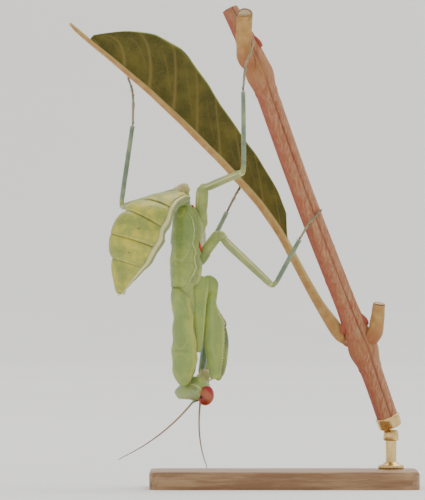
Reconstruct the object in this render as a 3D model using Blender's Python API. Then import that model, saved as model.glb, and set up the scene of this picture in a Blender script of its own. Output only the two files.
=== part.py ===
"""Praying mantis nymph, life size, hanging head down from a twig and one leaf on a display stand.

The animal is built in its own body frame (left, dorsal, forward) in millimetres and hangs with its
head down and its abdomen flopped over its back. Every part is one closed solid in metres, +Z up.
The origin is the centre of the stand's underside.
"""

import math

import bmesh
import bpy
from mathutils import Quaternion, Vector

MM = 0.001

# --- where the animal hangs -----------------------------------------------------------------------
BODY_REAR = Vector((-13.6, -3.5, 39.6))  # rear end of the thorax axis, mm from the origin
BODY_TURN = math.radians(42)  # how far the back is turned away from straight to the front
LEFT = Vector((math.cos(BODY_TURN), -math.sin(BODY_TURN), 0))
DORSAL = Vector((-math.sin(BODY_TURN), -math.cos(BODY_TURN), 0))
FORWARD = Vector((0, 0, -1))

# --- thorax, mm along the forward axis ------------------------------------------------------------
METATHORAX_SPAN = (-0.1, 6.0)
MESOTHORAX_SPAN = (6.12, 11.75)
THORAX_HALF_WIDTH = 2.15
THORAX_HALF_DEPTH = 2.1
THORAX_BELLY = 0.78  # the underside is this much flatter than the back
PROTHORAX_SPAN = (11.95, 25.3)
PRONOTUM_REAR_HALF_WIDTH = 1.5
PRONOTUM_WIDENING = 0.035  # mm of half width for each mm forward
DILATION_AT = 20.6  # where the fore legs join and the pronotum is widest
DILATION_EXTRA = 0.5
DILATION_SPREAD = 2.9
PRONOTUM_DORSAL = 0.75  # the pronotum's margins lie this far above the thorax axis
PRONOTUM_REAR_LIFT = 0.85  # and this much more at its rear end
PRONOTUM_ARCH = 0.55
PROTHORAX_DROP = 1.7

# --- abdomen: its axis, (left, dorsal, forward) in mm, curls over the back ------------------------
ABDOMEN_AXIS = (
    (0.0, 0.35, -0.95),
    (0.0, 2.8, -0.75),
    (-0.15, 5.3, 0.0),
    (-0.4, 7.3, 1.7),
    (-1.1, 8.8, 4.4),
    (-1.9, 10.0, 8.3),
    (-2.7, 11.1, 12.4),
)
ABDOMEN_CUTS = (0.0, 0.3, 0.45, 0.62, 0.77, 0.885, 1.0)  # segment ends, as shares of the axis
ABDOMEN_HALF_WIDTHS = (1.2, 2.2, 2.95, 3.5, 3.95, 3.85, 2.95, 1.7, 0.35)  # evenly along the axis
ABDOMEN_BELLIES = (0.9, 1.05, 1.25, 1.65, 1.9, 1.8, 1.4, 0.9, 0.3)  # height of the sternites
ABDOMEN_BACKS = (0.9, 1.0, 1.0, 1.0, 1.0, 0.9, 0.8, 0.6, 0.3)  # height of the tergites
ABDOMEN_TWIST = math.radians(26)  # it rolls as it flops over, and shows its underside
CERCUS_LENGTH = 1.4
CERCUS_RADIUS = 0.26

# --- head: its centre, and the directions of its left side and its crown --------------------------
HEAD_CENTRE = Vector((-12.7, -2.7, 13.4))
HEAD_LEFT_AIM = Vector((0.56, -0.82, -0.1))
HEAD_CROWN_AIM = Vector((-0.37, -0.26, -0.89))
CROWN_HEIGHT = 1.55
MOUTH_DEPTH = 3.9
HEAD_HALF_WIDTH = 2.7
TEMPLE_SETBACK = 0.8  # the head is widest this far behind its centre
EYE_CENTRE = (2.35, 0.8, -0.15)  # out to the side, to the face, to the crown
EYE_RADII = (0.95, 1.25, 1.42)
ANTENNA_RADIUS = 0.25
ANTENNAE = {  # root (left, face, crown), direction at the root, direction at the tip, length
    "left": ((0.2, 1.45, 0.3), (-0.1, -0.4, -0.9), (0.25, -0.75, -0.6), 12.0),
    "right": ((-0.9, 1.4, 0.2), (-0.6, 0.35, -0.75), (-0.85, 0.3, -0.4), 15.0),
}
NECK_RADIUS = 0.7

# --- legs: lengths of coxa, femur, tibia and tarsus, and their radii at both ends, mm -------------
MID_LENGTHS = (4.7, 10.9, 8.3, 5.2)
HIND_LENGTHS = (5.2, 11.4, 12.2, 7.2)
COXA_RADII = (0.7, 0.76)
MID_FEMUR_RADII = (0.66, 0.47)
HIND_FEMUR_RADII = (0.62, 0.5)
TIBIA_RADII = (0.39, 0.35)
TARSUS_RADII = (0.29, 0.26)
WALKING_LEGS = {
    # The hip (left, dorsal, forward), then the directions of coxa, femur, tibia and of the tarsus'
    # lengths: turned from the left side towards the back, and tilted towards the head, in degrees.
    "mid_left": ((0.8, -1.7, 7.7), (-11, -49), (-25, 42), (-83, -54), (-70, -57), (-25, -44), (-78, -40)),
    "mid_right": ((-1.3, -1.6, 6.9), (-90, -53), (-131, 26), (-11, -60), (-72, -60), (-85, -52), (-123, -61)),
    "hind_left": ((0.9, -1.9, 2.8), (38, -73), (17, -12), (-133, -69), (-103, -79), (-78, -62), (-105, -61)),
    "hind_right": (
        (-1.2, -1.3, 3.0), (-156, -76), (176, 12), (-100, -75), (-128, -81), (-150, -63), (-173, -59)
    ),
}
TARSUS_SHARES = (0.5, 0.28, 0.22)  # the three lengths of a tarsus
FORE_LEGS = {
    # hip, elbow, femur's two ends, tibia's two ends, tarsus' end, and the turn of the spiny edge
    "left": (
        (1.6, -0.9, 20.9),
        (1.9, -1.7, 10.3),
        ((2.6, -2.3, 10.4), (2.9, -2.6, 24.6)),
        ((3.3, -3.8, 24.1), (3.9, -4.2, 16.9)),
        (1.9, -3.5, 13.7),
        -42,
    ),
    "right": (
        (-2.1, -1.2, 20.9),
        (-1.1, -5.8, 10.9),
        ((-0.3, -6.3, 11.4), (-1.2, -4.3, 23.9)),
        ((-1.5, -5.4, 23.6), (-1.8, -7.1, 17.9)),
        (-1.5, -7.1, 14.4),
        -138,
    ),
}
# sections of the flattened fore joints: place along, height on the edge side, height behind, thickness
FORE_COXA_SIZE = (0.92, 0.66)
FORE_COXA_SHARES = (
    (0.0, 0.35, 0.35, 0.5),
    (0.06, 0.65, 0.8, 0.85),
    (0.35, 0.8, 1.2, 1),
    (0.7, 0.8, 1.4, 1),
    (0.92, 0.95, 1.3, 1),
    (1.0, 0.85, 1.0, 0.9),
    (1.05, 0.4, 0.5, 0.5),
)
FORE_FEMUR_SIZE = (1.0, 0.62)
FORE_FEMUR_SHARES = (
    (0.0, 0.45, 0.6, 0.6),
    (0.05, 0.85, 1.0, 0.9),
    (0.2, 1.1, 1.4, 1.0),
    (0.4, 1.65, 1.6, 1.0),
    (0.6, 1.7, 1.45, 1.0),
    (0.8, 1.35, 1.05, 0.95),
    (0.95, 0.9, 0.7, 0.8),
    (1.0, 0.4, 0.4, 0.5),
)
FORE_TIBIA_SIZE = (0.42, 0.36)
FORE_TIBIA_SHARES = (
    (0.0, 0.6, 0.6, 0.7),
    (0.1, 1, 1, 1),
    (0.6, 0.95, 0.95, 1),
    (0.85, 0.75, 0.75, 0.8),
    (1.0, 0.6, 0.6, 0.7),
)

# --- perch: a cut length of twig and the leaf that the far feet hold, mm --------------------------
TWIG_FOOT = (15.1, 5.2, 8.4)
LOWER_NODE = (10.8, 3.2, 20.3)
TWIG_MIDDLE = (2.7, -2.3, 41.0)
UPPER_NODE = (-4.0, -4.4, 59.4)
TWIG_TOP = (-7.7, -3.5, 67.2)
TWIG_RADIUS = 1.5
TWIG_TOP_RADIUS = 1.1
NODE_SWELLING = 0.45
NODE_SPREAD = 2.2
UPPER_STUB = ((-4.6, -5.8, 58.2), (-5.6, -6.8, 60.6), (-5.7, -7.0, 63.4), (-5.4, -7.1, 66.6))
UPPER_STUB_RADII = (0.9, 1.0, 1.1, 1.1)
LOWER_STUB = ((12.2, 2.6, 20.4), (13.0, 1.9, 22.6), (13.4, 1.5, 26.0))
LOWER_STUB_RADII = (0.95, 1.05, 0.85)
LEAF_STALK = ((8.6, 2.8, 20.4), (4.3, 4.3, 26.9), (-3.2, 7.0, 39.6), (-16.9, 8.8, 53.8), (-30.2, 9.5, 65.2))
STALK_ROOT_RADIUS = 0.75
STALK_TIP_RADIUS = 0.27
PETIOLE_SWELLING = 0.3  # the petiole is fattest a little above its foot
BLADE_THICKNESS = 0.5
BLADE_START = 0.42  # share of the stalk's length at which the blade begins
BLADE_WIDTHS = (0.5, 1.7, 2.7, 3.5, 4.1, 5.0, 6.2, 7.2, 6.7, 4.6, 0.6)  # of one half, evenly to the tip
BLADE_FOLD = math.radians(74)  # angle between the two halves

# --- stand, mm ------------------------------------------------------------------------------------
BASE_SIZE = Vector((37.6, 22.4, 2.5))
BASE_CORNER = 2.0
BASE_CHAMFER = 0.35
ROD_RADIUS = 0.75
TWIG_FOOT_SLANT = 0.4  # the twig is cut square to its lean, so its foot dips by this share of its radius
GAP = 0.1  # clearance between neighbouring solids

CARVED = {  # which solid is cut back from which neighbours
    "abdomen_1": ("metathorax",),
    "prothorax": ("neck", "head"),
    "head": ("eye_left", "eye_right", "neck"),
    "mouthparts": ("head",),
    "cercus_left": ("abdomen_6",),
    "cercus_right": ("abdomen_6",),
    "mid_right_tibia": ("mid_right_femur",),
    "mid_left_tibia": ("mid_left_femur",),
    "hind_left_tibia": ("hind_left_femur",),
    "hind_right_tibia": ("hind_right_femur",),
    "hind_right_tarsus": ("perch_leaf_far",),
    "mid_right_tarsus": ("perch_leaf_far",),
    "antenna_left": ("head", "eye_left"),
    "antenna_right": ("head",),
    "mid_left_coxa": ("mesothorax",),
    "mid_right_coxa": ("mesothorax",),
    "hind_left_coxa": ("metathorax",),
    "hind_right_coxa": ("metathorax",),
    "mid_left_femur": ("mid_left_coxa",),
    "mid_right_femur": ("mid_right_coxa",),
    "hind_left_femur": ("hind_left_coxa",),
    "hind_right_femur": ("hind_right_coxa",),
    "fore_left_coxa": ("prothorax", "mesothorax"),
    "fore_right_coxa": ("prothorax",),
    "fore_left_femur": ("fore_left_coxa",),
    "fore_right_femur": ("fore_right_coxa",),
    "fore_left_tibia": ("fore_left_femur",),
    "fore_right_tibia": ("fore_right_femur",),
    "fore_left_tarsus": ("fore_left_tibia", "fore_left_femur"),
    "fore_right_tarsus": ("fore_right_tibia", "fore_right_femur"),
    "perch_stub_upper": ("perch_twig",),
    "perch_stub_lower": ("perch_twig",),
    "perch_leaf_stalk": ("perch_twig",),
    "hind_left_tarsus": ("perch_stub_upper", "perch_twig"),
    "mid_left_tarsus": ("perch_twig",),
}

# --- colours --------------------------------------------------------------------------------------
SAGE = (0.36, 0.42, 0.2)
LEAF_GREEN = (0.28, 0.36, 0.13)
YELLOW_GREEN = (0.42, 0.44, 0.12)
BLUE_GREEN = (0.25, 0.33, 0.24)
CREAM = (0.7, 0.66, 0.42)
CRIMSON = (0.4, 0.05, 0.04)
RUST = (0.3, 0.13, 0.05)
BARK_PINK = (0.36, 0.17, 0.12)
PETIOLE_ORANGE = (0.42, 0.26, 0.1)
OLIVE = (0.12, 0.12, 0.02)
OAK = (0.35, 0.2, 0.1)
BRASS = (0.6, 0.45, 0.2)


def body_point(left, dorsal, forward):
    """A place in the animal's frame, as a world place in mm."""
    return BODY_REAR + LEFT * left + DORSAL * dorsal + FORWARD * forward


def body_aim(turn, tilt):
    """A direction turned from the left side towards the back, and tilted towards the head, in degrees."""
    turn, tilt = math.radians(turn), math.radians(tilt)
    level = LEFT * math.cos(turn) + DORSAL * math.sin(turn)
    return level * math.cos(tilt) + FORWARD * math.sin(tilt)


def eased(values, t):
    """The value at share t of a row of evenly spaced values."""
    place = min(max(t, 0.0), 1.0) * (len(values) - 1)
    i = min(int(place), len(values) - 2)
    return values[i] + (values[i + 1] - values[i]) * (place - i)


def bump(x, centre, spread):
    """1 at the centre, falling smoothly to 0 on both sides."""
    return math.exp(-(((x - centre) / spread) ** 2))


def smooth_path(points, steps):
    """Evenly numbered points on a smooth curve through the given ones."""
    points = [Vector(p) for p in points]
    ends = [2 * points[0] - points[1], *points, 2 * points[-1] - points[-2]]
    path = []
    for i in range(len(points) - 1):
        a, b, c, d = ends[i : i + 4]
        for k in range(steps):
            t = k / steps
            path.append(
                0.5 * (2 * b + (c - a) * t + (2 * a - 5 * b + 4 * c - d) * t**2)
                + 0.5 * (3 * b - a - 3 * c + d) * t**3
            )
    return [*path, points[-1]]


# --- making objects -------------------------------------------------------------------------------


def look(name, colour, roughness, metallic=0.0):
    material = bpy.data.materials.get(name) or bpy.data.materials.new(name)
    material.use_nodes = True
    shader = material.node_tree.nodes["Principled BSDF"]
    shader.inputs["Base Color"].default_value = (*colour, 1)
    shader.inputs["Roughness"].default_value = roughness
    shader.inputs["Metallic"].default_value = metallic
    return material


def place(name, data, material, collection):
    obj = bpy.data.objects.new(name, data)
    data.materials.append(material)
    collection.objects.link(obj)
    return obj


def ring(centre, across, up, half_width, rise, drop, sides=12, fullness=2.0):
    """A closed outline: half_width to each side of centre, rise along up and drop below it."""
    outline = []
    for i in range(sides):
        angle = 2 * math.pi * (i + 0.5) / sides
        c, s = math.cos(angle), math.sin(angle)
        x = math.copysign(abs(c) ** (2 / fullness), c) * half_width
        y = math.copysign(abs(s) ** (2 / fullness), s) * (rise if s > 0 else drop)
        outline.append(centre + across * x + up * y)
    return outline


def loft(name, rings, material, collection):
    """One closed solid through like-numbered outlines, in mm, with flat ends."""
    shape = bmesh.new()
    rows = [[shape.verts.new(p * MM) for p in outline] for outline in rings]
    count = len(rings[0])
    for row, following in zip(rows, rows[1:]):
        for i in range(count):
            j = (i + 1) % count
            shape.faces.new((row[i], row[j], following[j], following[i]))
    shape.faces.new(reversed(rows[0]))
    shape.faces.new(rows[-1])
    bmesh.ops.recalc_face_normals(shape, faces=shape.faces)
    mesh = bpy.data.meshes.new(name)
    shape.to_mesh(mesh)
    shape.free()
    mesh.shade_smooth()
    mesh.set_sharp_from_angle(angle=math.radians(50))
    return place(name, mesh, material, collection)


def sweep_frames(points):
    """A cross direction and an upward one for each point of a path, carried along without twist."""
    across = None
    frames = []
    last = len(points) - 1
    for i in range(len(points)):
        ahead = (points[min(i + 1, last)] - points[max(i - 1, 0)]).normalized()
        seed = across or ahead.orthogonal()
        across = (seed - seed.project(ahead)).normalized()
        frames.append((across, ahead.cross(across)))
    return frames


def tube(name, points, radii, material, collection, sides=10):
    """A round, tapering limb or rod through points in mm, with flat caps."""
    rings = [
        ring(at, across, up, radius, radius, radius, sides)
        for at, (across, up), radius in zip(points, sweep_frames(points), radii)
    ]
    return loft(name, rings, material, collection)


def limb(name, start, end, radii, setbacks, material, collection):
    """A leg joint between two places: radii at its ends, held back from each, with domed ends."""
    aim = (end - start).normalized()
    first, last = start + aim * setbacks[0], end - aim * setbacks[1]
    shares = ((0, 0.5), (0.04, 0.86), (0.12, 1), (0.45, 1), (0.85, 1), (0.95, 0.92), (1, 0.6))
    points = [first.lerp(last, t) for t, share in shares]
    widths = [share * (radii[0] + (radii[1] - radii[0]) * t) for t, share in shares]
    return tube(name, points, widths, material, collection)


def carve(name, neighbours, parts, cutters):
    """Cuts a solid back from its neighbours, so that it meets each of them with the clearance."""
    target = parts.objects[name]
    for neighbour in neighbours:
        mesh = parts.objects[neighbour].data.copy()
        outward = [vertex.normal.copy() for vertex in mesh.vertices]
        for vertex, normal in zip(mesh.vertices, outward):
            vertex.co += normal * GAP * MM
        cutter = bpy.data.objects.new(f"cut_{name}_{neighbour}", mesh)
        cutters.objects.link(cutter)
        cutter.hide_render = True
        cutter.display_type = "WIRE"
        cut = target.modifiers.new(neighbour, "BOOLEAN")
        cut.operation = "DIFFERENCE"
        cut.solver = "EXACT"
        cut.object = cutter


# --- the trunk ------------------------------------------------------------------------------------


def thorax_loft(name, span, sections, parts):
    """One thorax segment. sections: (share of its length, scale, how far its centre is lifted)."""
    rings = [
        ring(
            body_point(0, lift, span[0] + (span[1] - span[0]) * t),
            LEFT,
            DORSAL,
            THORAX_HALF_WIDTH * scale,
            THORAX_HALF_DEPTH * scale,
            THORAX_HALF_DEPTH * scale * THORAX_BELLY,
            14,
            2.2,
        )
        for t, scale, lift in sections
    ]
    loft(name, rings, look("thorax_cuticle", SAGE, 0.45), parts)


def make_thorax(parts):
    rear = ((0, 0.56, 0.1), (0.12, 0.78, 0), (0.32, 0.93, 0), (0.6, 1.0, 0), (0.85, 1.0, 0), (1, 0.96, 0))
    thorax_loft("metathorax", METATHORAX_SPAN, rear, parts)
    front = ((0, 0.97, 0), (0.15, 1.02, 0), (0.45, 1.03, 0), (0.65, 0.96, 0.15), (0.85, 0.8, 0.5))
    thorax_loft("mesothorax", MESOTHORAX_SPAN, (*front, (1, 0.62, 0.95)), parts)


def pronotum_half_width(forward):
    """Slender behind, widest over the fore legs, rounded off in front."""
    start, end = PROTHORAX_SPAN
    width = PRONOTUM_REAR_HALF_WIDTH + PRONOTUM_WIDENING * (min(forward, DILATION_AT) - start)
    width += DILATION_EXTRA * bump(min(forward, DILATION_AT), DILATION_AT, DILATION_SPREAD)
    if forward > DILATION_AT:
        share = (forward - DILATION_AT) / (end + 0.15 - DILATION_AT)
        width *= (1 - share**2) ** 0.58
    return width


def make_prothorax(parts):
    start, end = PROTHORAX_SPAN
    rings = []
    steps = 16
    for k in range(steps + 1):
        t = k / steps
        forward = start + (end - start) * (1 - (1 - t) ** 1.25)
        width = pronotum_half_width(forward) * (0.88 if k == 0 else 1)
        taper = width / (PRONOTUM_REAR_HALF_WIDTH + 0.6)
        lift = PRONOTUM_REAR_LIFT * max(0, 1 - (forward - start) / 4.5) ** 1.5
        rings.append(
            ring(
                body_point(0, PRONOTUM_DORSAL + lift, forward),
                LEFT,
                DORSAL,
                width,
                PRONOTUM_ARCH * min(1, taper + 0.2),
                PROTHORAX_DROP * min(1, taper + 0.15),
                16,
            )
        )
    loft("prothorax", rings, look("thorax_cuticle", SAGE, 0.45), parts)


def abdomen_frame(path, i):
    """Centre, left and belly directions of the abdomen at point i of its axis."""
    ahead = path[min(i + 1, len(path) - 1)] - path[max(i - 1, 0)]
    twist = ABDOMEN_TWIST * min(1, max(0, 3 * i / (len(path) - 1) - 0.6))
    across = Quaternion(ahead, -twist) @ (LEFT - LEFT.project(ahead)).normalized()
    return path[i], across, ahead.normalized().cross(across)


def make_abdomen(parts):
    green = look("abdomen_cuticle", YELLOW_GREEN, 0.45)
    path = smooth_path([body_point(*p) for p in ABDOMEN_AXIS], 8)
    lengths = [0.0]
    for a, b in zip(path, path[1:]):
        lengths.append(lengths[-1] + (b - a).length)
    total = lengths[-1]

    def outline(share, swell):
        distance = share * total
        i = max(k for k in range(len(path)) if lengths[k] <= distance + 1e-6)
        i = min(i, len(path) - 2)
        t = (distance - lengths[i]) / (lengths[i + 1] - lengths[i])
        before, after = abdomen_frame(path, i), abdomen_frame(path, i + 1)
        centre, across, belly = (a.lerp(b, t) for a, b in zip(before, after))
        return ring(
            centre,
            across.normalized(),
            belly.normalized(),
            eased(ABDOMEN_HALF_WIDTHS, share) * swell,
            eased(ABDOMEN_BELLIES, share) * swell,
            eased(ABDOMEN_BACKS, share) * swell,
            16,
        )

    for number, (start, end) in enumerate(zip(ABDOMEN_CUTS, ABDOMEN_CUTS[1:]), 1):
        gap = GAP / total / 2
        start, end = start + gap, end - gap
        swells = ((0, 0.95), (0.3, 0.99), (0.65, 1.01), (0.93, 1.0), (1, 0.97))
        rings = [outline(start + (end - start) * t, swell) for t, swell in swells]
        loft(f"abdomen_{number}", rings, green, parts)
    _, across, belly = abdomen_frame(path, len(path) - 1)
    tailward = (path[-1] - path[-2]).normalized()
    cream = look("cercus_cuticle", CREAM, 0.5)
    for side, sign in (("left", 1), ("right", -1)):
        root = path[-1] - tailward * 1.5 + across * sign * 0.4 - belly * 0.5
        aim = (tailward + across * sign * 0.12 - belly * 0.1).normalized()
        points = [root, root + aim * 0.3, root + aim * CERCUS_LENGTH * 0.7, root + aim * CERCUS_LENGTH]
        widths = [CERCUS_RADIUS, CERCUS_RADIUS * 1.1, CERCUS_RADIUS, CERCUS_RADIUS * 0.8]
        tube(f"cercus_{side}", points, widths, cream, parts)


# --- the head -------------------------------------------------------------------------------------

CROWN = HEAD_CROWN_AIM.normalized()
HEAD_LEFT = (HEAD_LEFT_AIM - HEAD_LEFT_AIM.project(CROWN)).normalized()
FACE = HEAD_LEFT.cross(CROWN)


def head_point(left, face, crown):
    return HEAD_CENTRE + HEAD_LEFT * left + FACE * face + CROWN * crown


def eye_rings(sign):
    """A tall oval eye, narrowing towards the mouth, as outlines stacked along the crown axis."""
    side, face, crown = EYE_CENTRE
    rings = []
    steps = 10
    for k in range(steps + 1):
        angle = math.pi * (k + 0.35) / (steps + 0.7) - math.pi / 2
        narrow = 1 - 0.16 * max(0, -math.sin(angle))
        round_off = math.cos(angle) * narrow
        rings.append(
            ring(
                head_point(sign * side, face, crown + EYE_RADII[2] * math.sin(angle)),
                HEAD_LEFT,
                FACE,
                EYE_RADII[0] * round_off,
                EYE_RADII[1] * round_off,
                EYE_RADII[1] * round_off,
                14,
            )
        )
    return rings


def make_head(parts):
    green = look("head_cuticle", SAGE, 0.45)
    # crown height, half width, depth to the face, depth to the neck, as outlines along the crown axis
    capsule = (
        (-2.15, 1.2, 2.3, 0.1),
        (-1.5, 1.75, 2.8, 0.4),
        (-0.7, 2.35, 2.85, 0.75),
        (0.1, HEAD_HALF_WIDTH, 2.4, 0.95),
        (0.7, HEAD_HALF_WIDTH, 2.0, 0.95),
        (1.15, 2.25, 1.7, 0.75),
        (CROWN_HEIGHT, 1.4, 1.2, 0.3),
    )
    rings = [
        ring(head_point(0, -TEMPLE_SETBACK, crown), HEAD_LEFT, FACE, width, face, back, 20, 2.3)
        for crown, width, face, back in capsule
    ]
    loft("head", rings, green, parts)
    mouth = (
        (-MOUTH_DEPTH, 0.3, 0.45, 0.25),
        (-3.6, 0.55, 0.8, 0.4),
        (-3.0, 0.8, 1.1, 0.5),
        (-2.26, 1.05, 1.4, 0.6),
    )
    rings = [
        ring(head_point(0, 0, crown), HEAD_LEFT, FACE, width, face, back, 12)
        for crown, width, face, back in mouth
    ]
    loft("mouthparts", rings, look("mouth_cuticle", CREAM, 0.45), parts)
    for side, sign in (("left", 1), ("right", -1)):
        loft(f"eye_{side}", eye_rings(sign), look("eye_facets", CRIMSON, 0.2), parts)


def make_antennae(parts):
    """Two feelers from the brow, one hanging down, one spread out to the far side."""
    rust = look("antenna_cuticle", RUST, 0.5)
    steps = 12
    for side, (root, first, last, length) in ANTENNAE.items():
        path = [head_point(*root)]
        for k in range(steps):
            aim = Vector(first).lerp(Vector(last), k / (steps - 1)).normalized()
            path.append(path[-1] + aim * length / steps)
        tube(f"antenna_{side}", path, [ANTENNA_RADIUS] * len(path), rust, parts, 8)


def make_neck(parts):
    start = body_point(0, -0.5, PROTHORAX_SPAN[1] - 0.9)
    end = head_point(0, -0.6, -0.4)
    points = [start.lerp(end, t) for t in (0, 0.35, 0.7, 1)]
    tube("neck", points, [NECK_RADIUS] * len(points), look("joint_skin", SAGE, 0.6), parts, 12)


# --- the legs -------------------------------------------------------------------------------------


def make_walking_leg(name, parts):
    hip, coxa_aim, femur_aim, tibia_aim, *tarsus_aims = WALKING_LEGS[name]
    is_mid = name.startswith("mid")
    lengths = MID_LENGTHS if is_mid else HIND_LENGTHS
    femur_radii = MID_FEMUR_RADII if is_mid else HIND_FEMUR_RADII
    joints = [body_point(*hip)]
    for aim, length in zip((coxa_aim, femur_aim, tibia_aim), lengths):
        joints.append(joints[-1] + body_aim(*aim) * length)
    green = look("leg_cuticle", SAGE, 0.45)
    blue = look("tibia_cuticle", BLUE_GREEN, 0.45)
    limb(f"{name}_coxa", joints[0], joints[1], COXA_RADII, (0, -0.35), green, parts)
    limb(f"{name}_femur", joints[1], joints[2], femur_radii, (0.2, 0.1), green, parts)
    limb(f"{name}_tibia", joints[2], joints[3], TIBIA_RADII, (0.3, 0.05), blue, parts)
    path = [joints[3]]
    for aim, share in zip(tarsus_aims, TARSUS_SHARES):
        path.append(path[-1] + body_aim(*aim) * lengths[3] * share)
    start = path[0] + (path[1] - path[0]).normalized() * 0.12
    points = [start, *smooth_path(path, 3)[1:]]
    steps = len(points) - 1
    widths = [TARSUS_RADII[0] + (TARSUS_RADII[1] - TARSUS_RADII[0]) * k / steps for k in range(steps + 1)]
    tube(f"{name}_tarsus", points, widths, look("tarsus_cuticle", CREAM, 0.5), parts, 8)


def flat_limb(name, start, end, edge, size, shares, material, parts):
    """A flattened leg joint. shares: (place, height on the edge side, height behind, thickness)."""
    aim = (end - start).normalized()
    edge = (edge - edge.project(aim)).normalized()
    across = edge.cross(aim)
    rings = []
    for t, front, behind, thick in shares:
        centre = start.lerp(end, t)
        rings.append(ring(centre, across, edge, size[1] * thick, size[0] * front, size[0] * behind))
    return loft(name, rings, material, parts)


def make_fore_leg(side, parts):
    hip, elbow, femur_ends, tibia_ends, toe, edge_turn = FORE_LEGS[side]
    hip, elbow, toe = (body_point(*p) for p in (hip, elbow, toe))
    femur_start, femur_end = (body_point(*p) for p in femur_ends)
    tibia_start, tibia_end = (body_point(*p) for p in tibia_ends)
    edge = body_aim(edge_turn, 0)
    green = look("fore_leg_cuticle", LEAF_GREEN, 0.45)
    blue = look("tibia_cuticle", BLUE_GREEN, 0.45)
    joints = (
        ("coxa", hip, elbow, FORE_COXA_SIZE, FORE_COXA_SHARES, green),
        ("femur", femur_start, femur_end, FORE_FEMUR_SIZE, FORE_FEMUR_SHARES, green),
        ("tibia", tibia_start, tibia_end, FORE_TIBIA_SIZE, FORE_TIBIA_SHARES, blue),
    )
    for joint, start, end, size, shares, material in joints:
        flat_limb(f"fore_{side}_{joint}", start, end, edge, size, shares, material, parts)
    aim = (toe - tibia_end).normalized()
    points = [tibia_end + aim * 0.12, tibia_end.lerp(toe, 0.6), toe]
    tube(f"fore_{side}_tarsus", points, [0.27, 0.26, 0.26], look("tarsus_cuticle", CREAM, 0.5), parts, 8)


# --- the perch ------------------------------------------------------------------------------------


def twig_radius(at):
    """The twig swells at its two nodes and thins towards its cut top."""
    nodes = bump(at.z, LOWER_NODE[2], NODE_SPREAD) + 0.6 * bump(at.z, UPPER_NODE[2], NODE_SPREAD)
    thinning = max(0, (at.z - UPPER_NODE[2]) / (TWIG_TOP[2] - UPPER_NODE[2]))
    return TWIG_RADIUS + NODE_SWELLING * nodes + (TWIG_TOP_RADIUS - TWIG_RADIUS) * thinning


def stalk_radius(t):
    """The leaf's stalk at share t of its length, from a fat petiole to the thin end of the midrib."""
    taper = STALK_TIP_RADIUS + (STALK_ROOT_RADIUS - STALK_TIP_RADIUS) * (1 - t) ** 0.8
    return taper + PETIOLE_SWELLING * bump(t, 0.08, 0.09)


def leaf_blade(name, path, outward, parts):
    """One half of the leaf, a thin closed sheet beside the stalk, pointed at both ends."""
    count = len(path)
    rings = []
    for i, at in enumerate(path):
        t = i / (count - 1)
        along = (path[min(i + 1, count - 1)] - path[max(i - 1, 0)]).normalized()
        out = (outward - outward.project(along)).normalized()
        normal = along.cross(out)
        width = eased(BLADE_WIDTHS, t)
        stalk = stalk_radius(BLADE_START + (1 - BLADE_START) * t) + GAP
        sag = 0.08 * width
        half = normal * BLADE_THICKNESS / 2
        inner = at + out * stalk
        middle = at + out * (stalk + width * 0.5) + normal * sag
        outer = at + out * (stalk + width)
        rings.append([inner + half, middle + half, outer + half, outer - half, middle - half, inner - half])
    return loft(name, rings, look("leaf_blade", OLIVE, 0.5), parts)


def make_perch(parts):
    bark = look("bark", BARK_PINK, 0.7)
    stalk = look("leaf_stalk", PETIOLE_ORANGE, 0.6)
    path = smooth_path((TWIG_TOP, UPPER_NODE, TWIG_MIDDLE, LOWER_NODE, TWIG_FOOT), 4)
    tube("perch_twig", path, [twig_radius(at) for at in path], bark, parts, 20)
    tube("perch_stub_upper", [Vector(p) for p in UPPER_STUB], UPPER_STUB_RADII, stalk, parts)
    tube("perch_stub_lower", [Vector(p) for p in LOWER_STUB], LOWER_STUB_RADII, stalk, parts)
    path = smooth_path(LEAF_STALK, 5)
    radii = [stalk_radius(i / (len(path) - 1)) for i in range(len(path))]
    tube("perch_leaf_stalk", path, radii, stalk, parts)
    start = round(BLADE_START * (len(path) - 1))
    blade_path = path[start:-1]
    along = (blade_path[-1] - blade_path[0]).normalized()
    away = Vector((0, 1, 0))
    beside = away.cross(along).normalized()
    folded = beside * math.cos(BLADE_FOLD) + away * math.sin(BLADE_FOLD)
    leaf_blade("perch_leaf_near", blade_path, beside, parts)
    leaf_blade("perch_leaf_far", blade_path, folded, parts)


# --- the stand ------------------------------------------------------------------------------------


def solid(name, shape, material, parts):
    """A bmesh in mm as an object of its own."""
    bmesh.ops.scale(shape, vec=(MM, MM, MM), verts=shape.verts)
    mesh = bpy.data.meshes.new(name)
    shape.to_mesh(mesh)
    shape.free()
    mesh.shade_smooth()
    mesh.set_sharp_from_angle(angle=math.radians(40))
    return place(name, mesh, material, parts)


def make_stand(parts):
    """A rounded wooden base, and one rod up to the cut foot of the twig."""
    shape = bmesh.new()
    bmesh.ops.create_cube(shape, size=1)
    bmesh.ops.scale(shape, vec=BASE_SIZE, verts=shape.verts)
    bmesh.ops.translate(shape, vec=(0, 0, BASE_SIZE.z / 2), verts=shape.verts)
    upright = [e for e in shape.edges if abs(e.verts[0].co.z - e.verts[1].co.z) > 0.1]
    bmesh.ops.bevel(shape, geom=upright, offset=BASE_CORNER, segments=6, affect="EDGES", profile=0.5)
    top = max(shape.faces, key=lambda face: face.calc_center_median().z)
    rim = list(top.edges)
    bmesh.ops.bevel(shape, geom=rim, offset=BASE_CHAMFER, segments=2, affect="EDGES", profile=0.5)
    solid("stand_base", shape, look("oak", OAK, 0.5), parts)

    foot = Vector(TWIG_FOOT)
    low, high = BASE_SIZE.z + GAP, foot.z - GAP - TWIG_RADIUS * TWIG_FOOT_SLANT
    shape = bmesh.new()
    bmesh.ops.create_cone(
        shape, cap_ends=True, segments=20, radius1=ROD_RADIUS, radius2=ROD_RADIUS, depth=high - low
    )
    bmesh.ops.translate(shape, vec=(foot.x, foot.y, (low + high) / 2), verts=shape.verts)
    solid("stand_rod", shape, look("brass", BRASS, 0.3, 1.0), parts)


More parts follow.
